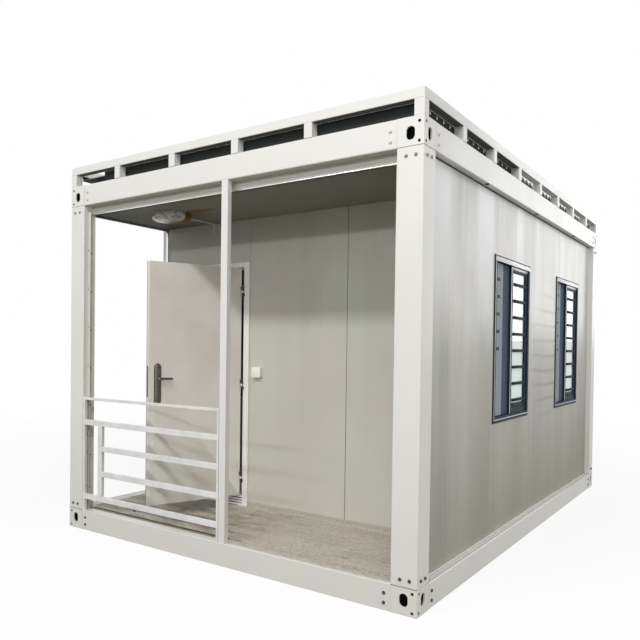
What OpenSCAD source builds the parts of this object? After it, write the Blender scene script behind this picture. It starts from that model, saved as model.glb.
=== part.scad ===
// Flat pack container house with an open front porch.
// One sub-part per module; all sizes in millimetres, +Z up.
// Origin: middle of the footprint, on the ground. Front (porch side) faces -Y.

/* [Overall] */
// Outer length, front corner to back corner
house_length = 4574; // [3600:1:7200]
// Outer width across the front
house_width = 3030; // [2200:10:3600]
// Outer height from the ground to the top of the roof rail
house_height = 2896; // [2600:1:3400]

/* [Frame] */
// Side of the square corner columns and corner blocks
column_side = 160; // [120:5:220]
// Depth of the two legs of each L-shaped column
column_leg = 97; // [60:1:130]
// Height of the base corner blocks and base beams
base_height = 155; // [120:5:220]
// Height of the top corner blocks and top beams
top_height = 160; // [120:5:220]
// Depth of the base beams, outer face to inner face
base_beam_depth = 110; // [100:1:140]
// Depth of the top beams, outer face to inner face
top_beam_depth = 100; // [98:1:140]
// Wall thickness of the hollow corner blocks
block_wall = 10; // [6:0.5:16]
// Width of the lifting slots in the corner blocks
slot_width = 52; // [40:1:64]
// Height of the lifting slots in the corner blocks
slot_length = 75; // [64:1:90]
// Slot centre from the corner edge
slot_inset = 80; // [60:1:96]
// Slot centre above the ground, base blocks
base_slot_z = 84; // [60:1:100]
// Slot centre above the underside of the top blocks
top_slot_rise = 71; // [60:1:100]
// Diameter of the small joining holes in the blocks
join_hole_d = 12; // [8:0.5:16]
// Joining hole centre from the corner edge
join_hole_inset = 28; // [20:1:40]
// Lower joining hole above the underside of its block
join_hole_rise = 22; // [14:1:36]
// Distance between the two joining holes on a face
join_hole_spacing = 107; // [90:1:116]

/* [Roof] */
// Height of the roof rail
rail_height = 60; // [40:1:90]
// Depth of the roof rail and of its posts
rail_depth = 60; // [40:1:90]
// Clear height between the top beam and the roof rail
rail_gap = 93; // [70:1:140]
// Width of the short roof posts
roof_post_width = 58; // [40:1:80]
// First end post, left edge from the left face
end_post_first = 518; // [300:1:800]
// Pitch of the end posts
end_post_pitch = 577; // [400:1:800]
// First side post, front edge from the front face
side_post_first = 579; // [400:1:900]
// Pitch of the side posts
side_post_pitch = 571; // [450:1:900]
// Clearance between the roof rail line and the roof sheet
roof_edge_gap = 2; // [1:0.5:20]
// Rib pitch of the roof sheet
rib_pitch = 100; // [80:1:200]
// Rib height of the roof sheet
rib_height = 30; // [15:1:40]
// Thickness of the roof sheet
roof_sheet_thickness = 2; // [0.8:0.1:4]
// Thickness of the flat deck under the roof sheet
roof_deck_thickness = 6; // [3:0.5:20]
// Width of the roof joists and purlins
roof_joist_width = 50; // [30:1:80]
// Height of the roof joists
roof_joist_height = 100; // [60:1:120]
// Number of roof joists
roof_joist_count = 7; // [3:1:10]
// Number of purlins
purlin_count = 4; // [2:1:6]

/* [Floor and ceiling] */
// Thickness of the floor board
floor_thickness = 18; // [12:1:30]
// Gap between the front base beam and the floor board
floor_front_gap = 12; // [4:1:20]
// Height of the floor joists
floor_joist_height = 80; // [50:1:110]
// Width of the floor joists
floor_joist_width = 40; // [30:1:80]
// Number of floor joists
floor_joist_count = 9; // [4:1:14]
// Underside of the ceiling below the underside of the top beams
ceiling_drop = 58; // [50:1:120]
// Thickness of the ceiling sheet
ceiling_thickness = 12; // [4:1:20]

/* [Walls] */
// Wall outer face behind the frame outer face
wall_recess = 47; // [20:1:50]
// Wall panel thickness
wall_thickness = 50; // [40:1:60]
// Visible joint between two wall panels
panel_joint = 2; // [1:0.5:4]
// First panel joint from the front face
joint_first = 500; // [300:1:900]
// Width of a wall panel
panel_width = 889; // [700:1:1150]
// Porch depth: front face to the partition face
porch_depth = 935; // [900:5:1600]
// Width of the post at the free end of the partition
end_post_face = 78; // [25:1:78]
// Height of the base track on the partition
track_height = 24; // [15:1:40]
// Thickness of the base track
track_thickness = 8; // [3:1:15]

/* [Windows] */
// Window width
window_width = 850; // [600:5:900]
// Window height
window_height = 1190; // [800:5:1300]
// Window sill above the ground
window_sill = 955; // [800:5:1200]
// First window, front edge from the front face
window_first = 1347; // [1200:1:1600]
// Least wall between the last window and the back column
window_edge = 60; // [20:5:200]
// Distance between the windows
window_pitch = 1723; // [1600:1:2200]
// Face width of the window frame
window_frame_face = 34; // [20:1:60]
// Depth of the window frame
window_frame_depth = 76; // [60:1:100]
// How far the window frame stands out of the wall
window_frame_proud = 8; // [2:1:20]
// Face width of the sliding sashes
sash_face = 42; // [30:1:70]
// Depth of a sash
sash_depth = 24; // [15:1:30]
// Overlap of the two sashes
sash_overlap = 42; // [20:1:60]
// Glass thickness
glass_thickness = 5; // [3:0.5:12]

/* [Door] */
// Door leaf width
leaf_width = 810; // [700:1:950]
// Door leaf height
leaf_height = 1878; // [1700:1:2100]
// Door leaf thickness
leaf_thickness = 45; // [35:1:50]
// Hinge side of the leaf from the left face of the house
leaf_hinge_side = 1049; // [900:1:1200]
// Angle by which the door stands open
door_open_angle = 69; // [0:1:100]
// Gap between leaf and frame at the hinge side, head and sill
leaf_gap = 7; // [5:0.5:10]
// Gap between leaf and frame at the lock side
lock_side_gap = 8; // [7:0.5:12]
// Face width of the door jambs and head
jamb_face = 55; // [40:1:60]
// How far the door frame stands in front of the partition
frame_proud = 15; // [8:1:30]
// Depth of the door frame
frame_depth = 80; // [70:1:110]
// How far the door stop reaches into the doorway
stop_reach = 15; // [10:1:25]
// Height of the threshold above the floor
threshold_height = 84; // [30:1:90]
// Hinge pin radius
pin_radius = 4; // [3:0.5:6]
// Running clearance of the hinge pin
pin_clearance = 0.3; // [0.1:0.05:0.6]
// Hinge knuckle radius
knuckle_radius = 7; // [6:0.5:9]
// Height of one hinge knuckle
knuckle_height = 50; // [30:1:70]
// Axial gap between the two knuckles of a hinge
knuckle_gap = 2; // [0.5:0.5:8]
// Hinge axis in front of the frame face
hinge_offset = 12; // [10:0.5:16]
// Height of the middle hinge above the ground
hinge_middle = 1166; // [900:1:1400]
// Distance between two hinges
hinge_spacing = 769; // [500:1:850]
// Width of a hinge plate
hinge_plate = 26; // [18:1:40]
// Thickness of a hinge plate
hinge_plate_thickness = 3; // [2:0.5:5]

/* [Door handle] */
// Height of the lever spindle above the ground
lever_z = 1221; // [1000:1:1300]
// Spindle distance from the free edge of the leaf
lever_backset = 72; // [55:1:90]
// Length of the lever
lever_length = 112; // [80:1:140]
// Thickness of the lever
lever_thickness = 18; // [12:1:24]
// Spindle radius
spindle_radius = 8; // [5:0.5:10]
// Clearance round the spindle
spindle_clearance = 0.5; // [0.2:0.1:1]
// Width of the handle plate
plate_width = 46; // [34:1:60]
// Height of the handle plate
plate_height = 300; // [200:1:320]
// Thickness of the handle plate
plate_thickness = 8; // [4:0.5:12]
// Gap between plate and lever
lever_standoff = 26; // [15:1:45]
// Lock cylinder below the spindle
cylinder_drop = 85; // [70:1:100]

/* [Porch] */
// Porch post, left edge from the left face
porch_post_left = 1594; // [1000:1:2000]
// Porch post width
porch_post_width = 56; // [40:1:80]
// Porch post depth
porch_post_depth = 40; // [30:1:60]
// Depth of the railing bars
bar_depth = 25; // [15:1:38]
// Face of the wide railing bars
bar_face = 40; // [25:1:60]
// Face of the narrow railing bars
thin_bar_face = 20; // [12:1:30]
// Underside of the lowest railing bar above the base beam
railing_start = 94; // [40:1:140]
// Pitch of the wide railing bars
bar_pitch = 197; // [120:1:240]
// Top of the railing above the base beam
railing_top = 903; // [800:1:1100]
// Upright inside the railing, left edge from the left column
inner_upright = 184; // [80:1:400]
// Width of the edge channels
channel_width = 52; // [40:1:60]
// Leg height of the edge channels
channel_leg = 50; // [30:1:50]
// Sheet thickness of the edge channels
channel_sheet = 3; // [1.5:0.5:4]
// Edge channels behind the outer face
channel_inset = 80; // [60:1:100]
// Width of the channel that runs up the inner face of each front column
upright_width = 47; // [30:1:50]
// Leg of that upright channel
upright_leg = 23; // [15:1:40]
// Distance from the front of the column to that upright channel
upright_inset = 46; // [20:1:60]

/* [Fittings] */
// Lamp centre from the left face
lamp_x = 703; // [400:1:900]
// Lamp centre from the front face
lamp_y = 430; // [300:1:700]
// Lamp diameter
lamp_diameter = 312; // [200:1:400]
// Lamp depth below the ceiling
lamp_depth = 62; // [40:1:100]
// Cable trunking width
trunking_width = 16; // [10:1:30]
// Cable trunking depth
trunking_depth = 10; // [6:1:20]
// Trunking drop on the partition
trunking_drop = 80; // [40:1:200]
// Switch box side
switch_side = 86; // [70:1:120]
// Switch box depth
switch_depth = 36; // [20:1:50]
// Switch box left edge from the left face
switch_x = 1158; // [1120:1:1400]
// Switch box underside above the ground
switch_z = 1225; // [1000:1:1500]

/* [Hidden] */
$fn = 48;
eps = 0.01;
half_width = house_width / 2;
half_length = house_length / 2;
column_length = house_height - base_height - top_height - rail_gap - rail_height;
beam_underside = base_height + column_length;
beam_top = beam_underside + top_height;
rail_underside = beam_top + rail_gap;
inner_wall = wall_recess + wall_thickness;
floor_top = base_height;
ceiling_z = beam_underside - ceiling_drop;
span_x = house_width - 2 * column_side;
span_y = house_length - 2 * column_side;
back_face = house_length - inner_wall;
partition_back = porch_depth + wall_thickness;
frame_front = porch_depth - frame_proud;
leaf_lock_side = leaf_hinge_side - leaf_width;
doorway_left = leaf_lock_side - lock_side_gap;
doorway_right = leaf_hinge_side + leaf_gap;
frame_left = doorway_left - jamb_face;
frame_right = doorway_right + jamb_face;
threshold_top = floor_top + threshold_height;
leaf_bottom = threshold_top + leaf_gap;
leaf_top = leaf_bottom + leaf_height;
doorway_top = leaf_top + leaf_gap;
frame_top = doorway_top + jamb_face - 12;
hinge_x = leaf_hinge_side + leaf_gap / 2;
hinge_y = frame_front - hinge_offset;
hinge_heights = [hinge_middle - hinge_spacing, hinge_middle, hinge_middle + hinge_spacing];
side_joints = [for (k = [0 : 20]) joint_first + k * panel_width];
roof_sheet_z = rail_underside - 2 - rib_height;
purlin_z = beam_underside + roof_joist_height;
purlin_height = roof_sheet_z - roof_deck_thickness - purlin_z;
last_window = floor((house_length - column_side - window_edge - window_width - window_first)
    / window_pitch);
window_starts = [for (k = [0 : last_window]) window_first + k * window_pitch];
last_end_post = floor((house_width - rail_depth - roof_post_width - end_post_first)
    / end_post_pitch - 0.5);
last_side_post = floor((house_length - rail_depth - roof_post_width - side_post_first)
    / side_post_pitch - 0.5);
sash_clear = 1;
sash_width = (window_width - 2 * window_frame_face - 2 * sash_clear + sash_overlap) / 2;
sash_height = window_height - 2 * window_frame_face - 2 * sash_clear;
outer_sash_x = 12 - window_frame_proud;
inner_sash_x = outer_sash_x + sash_depth + 2;
leaf_near = -leaf_gap / 2;
leaf_far = leaf_near - leaf_width;
spindle_x = leaf_far + lever_backset;
leaf_front = hinge_offset;
leaf_back = hinge_offset + leaf_thickness;
plate_low = lever_z - (plate_height - plate_width - plate_thickness * 11);

// Moves the drawing origin to the left front corner of the footprint.
module from_corner()
{
    translate([-half_width, -half_length, 0])
        children();
}

// A box given by its two opposite corners.
module block(low, high)
{
    translate(low)
        cube([high[0] - low[0], high[1] - low[1], high[2] - low[2]]);
}

// Four copies, one at each corner, the drawn corner edge at the outer corner.
module at_corners()
{
    for (mx = [0, 1])
        for (my = [0, 1])
            mirror([mx, 0, 0])
                mirror([0, my, 0])
                    translate([-half_width, -half_length, 0])
                        children();
}

// A copy on the left and, mirrored, on the right.
module both_sides()
{
    for (mx = [0, 1])
        mirror([mx, 0, 0])
            translate([-half_width, -half_length, 0])
                children();
}

// A copy at the front and, mirrored, at the back.
module both_ends()
{
    for (my = [0, 1])
        mirror([0, my, 0])
            translate([-half_width, -half_length, 0])
                children();
}

// Upright slot cutter running along Y, centred on the origin.
module slot_cutter()
{
    rise = (slot_length - slot_width) / 2;
    reach = block_wall * 2;
    translate([-slot_width / 2, -reach / 2, -rise])
        cube([slot_width, reach, 2 * rise]);
    for (s = [-1, 1])
        translate([0, reach / 2, s * rise])
            rotate([90, 0, 0])
                cylinder(d = slot_width, h = reach);
}

// Slot and joining holes of one outer face, the face in the XZ plane at y = 0.
module face_holes(slot_z)
{
    translate([slot_inset, 0, slot_z])
        slot_cutter();
    for (k = [0, 1])
        translate([join_hole_inset, block_wall + 5, join_hole_rise + k * join_hole_spacing])
            rotate([90, 0, 0])
                cylinder(d = join_hole_d, h = block_wall + 10);
}

// Hollow corner block with holes in its two outer faces, corner at the origin.
module corner_block(height, slot_z)
{
    difference() {
        cube([column_side, column_side, height]);
        translate([block_wall, block_wall, block_wall])
            cube([column_side - 2 * block_wall, column_side - 2 * block_wall,
                height - 2 * block_wall]);
        face_holes(slot_z);
        mirror([1, -1, 0])
            face_holes(slot_z);
    }
}

module base_corner_blocks()
{
    color("white")
        at_corners()
            corner_block(base_height, base_slot_z);
}

module top_corner_blocks()
{
    color("white")
        at_corners()
            translate([0, 0, beam_underside])
                corner_block(top_height, top_slot_rise);
}

module column_section(height, grow)
{
    difference() {
        translate([-grow, -grow, 0])
            cube([column_side + grow, column_side + grow, height]);
        translate([column_leg, column_leg, -1])
            cube([column_side, column_side, height + 2]);
    }
}

module corner_columns()
{
    color("white")
        at_corners()
            translate([0, 0, base_height])
                column_section(column_length, 0);
}

module base_side_beams()
{
    color("white")
        both_sides()
            translate([0, column_side, 0])
                cube([base_beam_depth, span_y, base_height]);
}

module base_end_beams()
{
    color("white")
        both_ends()
            translate([column_side, 0, 0])
                cube([span_x, base_beam_depth, base_height]);
}

module top_side_beams()
{
    color("white")
        both_sides()
            translate([0, column_side, beam_underside])
                cube([top_beam_depth, span_y, top_height]);
}

module top_end_beams()
{
    color("white")
        both_ends()
            translate([column_side, 0, beam_underside])
                cube([span_x, top_beam_depth, top_height]);
}

module roof_end_rails()
{
    color("white")
        both_ends()
            translate([0, 0, rail_underside])
                cube([house_width, rail_depth, rail_height]);
}

module roof_side_rails()
{
    color("white")
        both_sides()
            translate([0, rail_depth, rail_underside])
                cube([rail_depth, house_length - 2 * rail_depth, rail_height]);
}

module roof_end_posts()
{
    color("white") {
        at_corners()
            translate([0, 0, beam_top])
                cube([rail_depth, rail_depth, rail_gap]);
        both_ends()
            for (k = [0 : last_end_post])
                translate([end_post_first + k * end_post_pitch, 0, beam_top])
                    cube([roof_post_width, rail_depth, rail_gap]);
    }
}

module roof_side_posts()
{
    color("white")
        both_sides()
            for (k = [0 : last_side_post])
                translate([0, side_post_first + k * side_post_pitch, beam_top])
                    cube([rail_depth, roof_post_width, rail_gap]);
}

// Trapezoid profile of the roof sheet, running in Y, from 0 to run.
function rib_line(run, up) = let (
        count = floor(run / rib_pitch),
        lead = (run - count * rib_pitch) / 2,
        flat = rib_pitch * 0.28,
        slope = rib_pitch * 0.22)
    concat([[0, up]],
        [for (k = [0 : count - 1]) each [
            [lead + k * rib_pitch + flat / 2, up],
            [lead + k * rib_pitch + flat / 2 + slope, up + rib_height - roof_sheet_thickness],
            [lead + k * rib_pitch + flat * 1.5 + slope, up + rib_height - roof_sheet_thickness],
            [lead + k * rib_pitch + flat * 1.5 + 2 * slope, up]]],
        [[run, up]]);

function backwards(list) = [for (k = [len(list) - 1 : -1 : 0]) list[k]];

module roof_sheet()
{
    inset = rail_depth + roof_edge_gap;
    run = house_length - 2 * inset;
    outline = concat(rib_line(run, 0), backwards(rib_line(run, roof_sheet_thickness)));
    color("slategray")
        from_corner()
            translate([inset, inset, roof_sheet_z])
                rotate([90, 0, 90])
                    linear_extrude(height = house_width - 2 * inset)
                        polygon(outline);
}

module roof_deck()
{
    inset = rail_depth + roof_edge_gap;
    color("dimgray")
        from_corner()
            block([inset, inset, roof_sheet_z - roof_deck_thickness],
                [house_width - inset, house_length - inset, roof_sheet_z]);
}

module roof_purlins()
{
    first = house_width * 0.14;
    gap = (house_width - 2 * first - roof_joist_width) / (purlin_count - 1);
    color("gray")
        from_corner()
            for (k = [0 : purlin_count - 1])
                translate([first + k * gap, top_beam_depth + 30, purlin_z])
                    cube([roof_joist_width, house_length - 2 * top_beam_depth - 60,
                        purlin_height]);
}

module roof_joists()
{
    first = column_side + 60;
    gap = (house_length - 2 * first - roof_joist_width) / (roof_joist_count - 1);
    color("gray")
        from_corner()
            for (k = [0 : roof_joist_count - 1])
                translate([top_beam_depth, first + k * gap, beam_underside])
                    cube([house_width - 2 * top_beam_depth, roof_joist_width,
                        roof_joist_height]);
}

module ceiling_sheet()
{
    color("gainsboro")
        difference() {
            from_corner() {
                block([channel_inset + channel_width, channel_inset + channel_width, ceiling_z],
                    [house_width - inner_wall, house_length - inner_wall,
                    ceiling_z + ceiling_thickness]);
                block([inner_wall, partition_back, ceiling_z],
                    [house_width - inner_wall, house_length - inner_wall,
                    ceiling_z + ceiling_thickness]);
            }
            at_corners()
                translate([0, 0, ceiling_z - 1])
                    column_section(ceiling_thickness + 2, 1);
        }
}

module floor_board()
{
    color("tan")
        difference() {
            from_corner()
                block([base_beam_depth, base_beam_depth + floor_front_gap,
                    floor_top - floor_thickness],
                    [house_width - base_beam_depth, house_length - base_beam_depth, floor_top]);
            at_corners()
                translate([-1, -1, floor_top - floor_thickness - 1])
                    cube([column_side + 1, column_side + 1, floor_thickness + 2]);
        }
}

module floor_joists()
{
    first = column_side + 40;
    gap = (house_length - 2 * first - floor_joist_width) / (floor_joist_count - 1);
    color("gray")
        from_corner()
            for (k = [0 : floor_joist_count - 1])
                translate([base_beam_depth, first + k * gap,
                    floor_top - floor_thickness - floor_joist_height])
                    cube([house_width - 2 * base_beam_depth, floor_joist_width,
                        floor_joist_height]);
}

// U channel lying along X, legs down, top at z = 0.
module channel(run, width, leg)
{
    difference() {
        translate([0, 0, -leg])
            cube([run, width, leg]);
        translate([-1, channel_sheet, -leg - 1])
            cube([run + 2, width - 2 * channel_sheet, leg + 1 - channel_sheet]);
    }
}

module edge_channels()
{
    upright = beam_underside - channel_leg - base_height - 1;
    color("whitesmoke")
        from_corner() {
            translate([column_side, channel_inset, beam_underside])
                channel(span_x, channel_width, channel_leg);
            translate([channel_inset + channel_width, column_side, beam_underside])
                rotate([0, 0, 90])
                    channel(porch_depth - column_side, channel_width, channel_leg);
            for (m = [0, 1])
                translate([m * house_width, 0, 0])
                    mirror([m, 0, 0])
                        translate([column_side, upright_inset, base_height])
                            rotate([0, -90, 0])
                                channel(upright, upright_width, upright_leg);
        }
}

// Wall run along Y from a to b, split at the panel joints.
module side_wall_run(a, b)
{
    cuts = concat([a - panel_joint / 2],
        [for (j = side_joints) if (j > a + 5 && j < b - 5) j],
        [b + panel_joint / 2]);
    for (k = [0 : len(cuts) - 2])
        block([wall_recess, cuts[k] + panel_joint / 2, base_height],
            [inner_wall, cuts[k + 1] - panel_joint / 2, beam_underside]);
}

// Window holes through a side wall.
module window_holes()
{
    for (w = window_starts)
        block([wall_recess - 1, w, window_sill],
            [inner_wall + 1, w + window_width, window_sill + window_height]);
}

// Slab that covers the panels that hold the windows.
module window_panel_zone()
{
    for (w = window_starts) {
        near = [for (j = side_joints) if (j > w - panel_width / 2 && j < w + panel_width / 2) j];
        block([wall_recess - 2, near[0], 0],
            [inner_wall + 2, near[0] + panel_width, house_height]);
    }
}

module plain_side_panels(a)
{
    difference() {
        side_wall_run(a, house_length - column_side);
        window_holes();
        window_panel_zone();
    }
}

module window_side_panels(a)
{
    intersection() {
        difference() {
            side_wall_run(a, house_length - column_side);
            window_holes();
        }
        window_panel_zone();
    }
}

module right_wall()
{
    color("lightgray")
        mirror([1, 0, 0])
            from_corner()
                plain_side_panels(column_side);
}

module right_window_wall()
{
    color("lightgray")
        mirror([1, 0, 0])
            from_corner()
                window_side_panels(column_side);
}

module left_wall()
{
    color("lightgray")
        from_corner()
            plain_side_panels(partition_back);
}

module left_window_wall()
{
    color("lightgray")
        from_corner()
            window_side_panels(partition_back);
}

module back_wall()
{
    edge = (span_x - 2 * panel_width) / 2;
    cuts = [column_side - panel_joint / 2, column_side + edge, column_side + edge + panel_width,
        column_side + edge + 2 * panel_width, house_width - column_side + panel_joint / 2];
    color("lightgray")
        from_corner()
            for (k = [0 : 3])
                block([cuts[k] + panel_joint / 2, back_face, base_height],
                    [cuts[k + 1] - panel_joint / 2, back_face + wall_thickness, beam_underside]);
}

module partition_wall()
{
    seam = frame_right + panel_width + 30;
    color("lightgray")
        from_corner() {
            block([frame_right, porch_depth, floor_top],
                [seam - panel_joint / 2, partition_back, ceiling_z]);
            block([seam + panel_joint / 2, porch_depth, floor_top],
                [house_width - inner_wall, partition_back, ceiling_z]);
        }
}

module partition_over_door()
{
    color("lightgray")
        from_corner()
            block([inner_wall + end_post_face, porch_depth, frame_top],
                [frame_right - panel_joint, partition_back, ceiling_z]);
}

module partition_end_post()
{
    color("white")
        from_corner()
            block([inner_wall, porch_depth - 2, floor_top],
                [inner_wall + end_post_face, partition_back + 12, ceiling_z]);
}

module partition_track()
{
    color("whitesmoke")
        from_corner()
            block([frame_right, porch_depth - track_thickness, floor_top],
                [house_width - inner_wall, porch_depth, floor_top + track_height]);
}

// Plan profile of the left jamb: face, then the stop behind the leaf.
module jamb_profile()
{
    stop_start = leaf_thickness + leaf_gap;
    polygon([[0, 0], [jamb_face, 0], [jamb_face, stop_start],
        [jamb_face + stop_reach, stop_start], [jamb_face + stop_reach, frame_depth],
        [0, frame_depth]]);
}

module door_jambs()
{
    color("white")
        from_corner() {
            translate([frame_left, frame_front, floor_top])
                linear_extrude(height = doorway_top - floor_top)
                    jamb_profile();
            translate([frame_right, frame_front, floor_top])
                mirror([1, 0, 0])
                    linear_extrude(height = doorway_top - floor_top)
                        jamb_profile();
        }
}

module door_head()
{
    stop_start = frame_front + leaf_thickness + leaf_gap;
    left = doorway_left + stop_reach;
    right = doorway_right - stop_reach;
    color("white")
        from_corner() {
            block([frame_left, frame_front, doorway_top],
                [frame_right, frame_front + frame_depth, frame_top]);
            block([left, stop_start, doorway_top - stop_reach],
                [right, frame_front + frame_depth, doorway_top + eps]);
        }
}

module door_threshold()
{
    step = threshold_height / 4;
    color("white")
        from_corner()
            translate([doorway_left, frame_front, floor_top])
                difference() {
                    union() {
                        cube([doorway_right - doorway_left, leaf_thickness + leaf_gap,
                            threshold_height]);
                        translate([stop_reach, 0, 0])
                            cube([doorway_right - doorway_left - 2 * stop_reach,
                                frame_depth, threshold_height]);
                    }
                    for (k = [1 : 3])
                        translate([-1, -1, k * step - 3])
                            cube([house_width, 7, 6]);
                }
}

// Lower knuckles with their pins and the plates on the jamb.
module door_hinge_pins()
{
    color("silver")
        from_corner()
            for (z = hinge_heights)
                translate([hinge_x, hinge_y, z - knuckle_height - knuckle_gap / 2]) {
                    cylinder(r = knuckle_radius, h = knuckle_height);
                    cylinder(r = pin_radius, h = 2 * knuckle_height + knuckle_gap - 4);
                    block([1, 0, 0], [7, hinge_offset, knuckle_height]);
                    block([1, hinge_offset - hinge_plate_thickness, 0],
                        [hinge_plate, hinge_offset, knuckle_height]);
                }
}

module porch_post()
{
    color("white")
        from_corner()
            block([porch_post_left, 0, base_height],
                [porch_post_left + porch_post_width, porch_post_depth, beam_underside]);
}

// Railing between the left column and the porch post, one welded panel.
module porch_railing()
{
    left = column_side + 4;
    right = porch_post_left;
    low = base_height + railing_start;
    top = base_height + railing_top;
    inner = column_side + inner_upright;
    color("white")
        from_corner() {
            block([column_side, 0, base_height], [left + thin_bar_face, bar_depth, top]);
            block([right - thin_bar_face, 0, base_height], [right, bar_depth, top]);
            block([left, 0, top - thin_bar_face], [right - 1, bar_depth, top]);
            for (k = [0, 3])
                block([left, 0, low + k * bar_pitch],
                    [right - 1, bar_depth, low + k * bar_pitch + bar_face]);
            for (k = [1, 2])
                block([inner, 0, low + k * bar_pitch],
                    [right - 1, bar_depth, low + k * bar_pitch + bar_face]);
            block([inner, 0, low + bar_face / 2],
                [inner + bar_face * 1.25, bar_depth, low + 3 * bar_pitch + bar_face / 2]);
        }
}

module ceiling_lamp()
{
    color("ivory")
        from_corner()
            translate([lamp_x, lamp_y, ceiling_z]) {
                translate([0, 0, -14])
                    cylinder(d = lamp_diameter * 0.86, h = 14);
                translate([0, 0, -26])
                    cylinder(d = lamp_diameter, h = 12);
                translate([0, 0, -lamp_depth])
                    cylinder(d1 = lamp_diameter * 0.7, d2 = lamp_diameter, h = lamp_depth - 26);
            }
}

module lamp_trunking()
{
    start = lamp_y + lamp_diameter * 0.43 + 0.2;
    color("white")
        from_corner() {
            block([lamp_x, start, ceiling_z - trunking_depth],
                [lamp_x + trunking_width, porch_depth, ceiling_z]);
            block([lamp_x, porch_depth - trunking_depth, ceiling_z - trunking_drop],
                [lamp_x + trunking_width, porch_depth, ceiling_z - 1]);
        }
}

module light_switch()
{
    rim = 8;
    color("white")
        from_corner() {
            block([switch_x, porch_depth - switch_depth + 4, switch_z],
                [switch_x + switch_side, porch_depth, switch_z + switch_side]);
            block([switch_x + rim, porch_depth - switch_depth, switch_z + rim],
                [switch_x + switch_side - rim, porch_depth - switch_depth + 5,
                switch_z + switch_side - rim]);
        }
}

// The window drawn on the left wall; children() repeats it for both walls.
module at_windows()
{
    both_sides()
        for (w = window_starts)
            translate([wall_recess, w, window_sill])
                children();
}

// A rectangular ring in the YZ plane, from the origin, along +X by depth.
module ring(width, height, face, depth)
{
    difference() {
        cube([depth, width, height]);
        translate([-1, face, face])
            cube([depth + 2, width - 2 * face, height - 2 * face]);
    }
}

module window_frames()
{
    color("darkslategray")
        at_windows()
            translate([-window_frame_proud, 0, 0])
                ring(window_width, window_height, window_frame_face, window_frame_depth);
}

// Both sashes of a window: the rear one runs inside the outer one.
module window_sashes()
{
    bottom = window_frame_face + sash_clear - sash_clear;
    color("darkslategray")
        at_windows() {
            translate([inner_sash_x, window_frame_face + sash_clear, bottom])
                ring(sash_width, sash_height, sash_face, sash_depth);
            translate([outer_sash_x,
                window_width - window_frame_face - sash_clear - sash_width, bottom])
                ring(sash_width, sash_height, sash_face, sash_depth);
        }
}

module window_glass()
{
    bottom = window_frame_face + sash_face;
    pane_y = sash_width - 2 * sash_face;
    pane_z = sash_height - 2 * sash_face;
    mid = (sash_depth - glass_thickness) / 2;
    color("lightblue")
        at_windows() {
            translate([inner_sash_x + mid, window_frame_face + sash_clear + sash_face, bottom])
                cube([glass_thickness, pane_y, pane_z]);
            translate([outer_sash_x + mid, window_width - window_frame_face - sash_clear
                - sash_width + sash_face, bottom])
                cube([glass_thickness, pane_y, pane_z]);
        }
}

// Everything on the leaf is drawn closed, then turned about the hinge axis.
// Inside, x runs from the hinge axis towards the lock side as negative.
module on_leaf()
{
    from_corner()
        translate([hinge_x, hinge_y, 0])
            rotate([0, 0, door_open_angle])
                children();
}

module door_leaf()
{
    color("linen")
        on_leaf()
            difference() {
                block([leaf_far, leaf_front, leaf_bottom], [leaf_near, leaf_back, leaf_top]);
                translate([spindle_x, leaf_back + 1, lever_z])
                    rotate([90, 0, 0])
                        cylinder(r = spindle_radius + spindle_clearance,
                            h = leaf_thickness + 2);
            }
}

module door_hinge_leaves()
{
    low = knuckle_gap / 2;
    color("silver")
        on_leaf()
            for (z = hinge_heights)
                translate([0, 0, z + low])
                    difference() {
                        union() {
                            cylinder(r = knuckle_radius, h = knuckle_height);
                            block([-7, 0, 0], [-1, hinge_offset - 3, knuckle_height]);
                            block([-hinge_plate, hinge_offset - hinge_plate_thickness, 0],
                                [-1, hinge_offset, knuckle_height]);
                        }
                        translate([0, 0, -1])
                            cylinder(r = pin_radius + pin_clearance, h = knuckle_height + 2);
                    }
}

// Rounded plate in the XZ plane, its back on y = 0, running to -y.
module handle_plate()
{
    straight = plate_height - plate_width;
    difference() {
        union() {
            translate([-plate_width / 2, -plate_thickness, 0])
                cube([plate_width, plate_thickness, straight]);
            for (z = [0, straight])
                translate([0, 0, z])
                    rotate([90, 0, 0])
                        cylinder(d = plate_width, h = plate_thickness);
        }
        translate([0, 1, straight - plate_thickness * 11])
            rotate([90, 0, 0])
                cylinder(r = spindle_radius + spindle_clearance, h = plate_thickness + 2);
    }
}

module door_handle_plates()
{
    color("dimgray")
        on_leaf() {
            translate([spindle_x, leaf_front, plate_low])
                handle_plate();
            translate([spindle_x, leaf_back, plate_low])
                mirror([0, 1, 0])
                    handle_plate();
            for (side = [0, 1])
                translate([spindle_x, side == 0 ? leaf_front - plate_thickness
                    : leaf_back + plate_thickness, lever_z - cylinder_drop])
                    rotate([side == 0 ? 90 : -90, 0, 0])
                        cylinder(r = 9, h = 4);
        }
}

// Spindle through the leaf with a lever on each side, pointing to the hinge.
module door_lever()
{
    reach = plate_thickness + lever_standoff;
    color("dimgray")
        on_leaf()
            translate([spindle_x, 0, lever_z]) {
                translate([0, leaf_back + reach + lever_thickness / 2, 0])
                    rotate([90, 0, 0])
                        cylinder(r = spindle_radius,
                            h = leaf_thickness + 2 * reach + lever_thickness);
                for (side = [0, 1])
                    translate([0, side == 0 ? leaf_front - reach - lever_thickness / 2
                        : leaf_back + reach + lever_thickness / 2, 0]) {
                        rotate([0, 90, 0])
                            cylinder(d = lever_thickness, h = lever_length - lever_thickness / 2);
                        sphere(d = lever_thickness);
                        translate([lever_length - lever_thickness / 2, 0, 0])
                            sphere(d = lever_thickness);
                    }
            }
}

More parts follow.
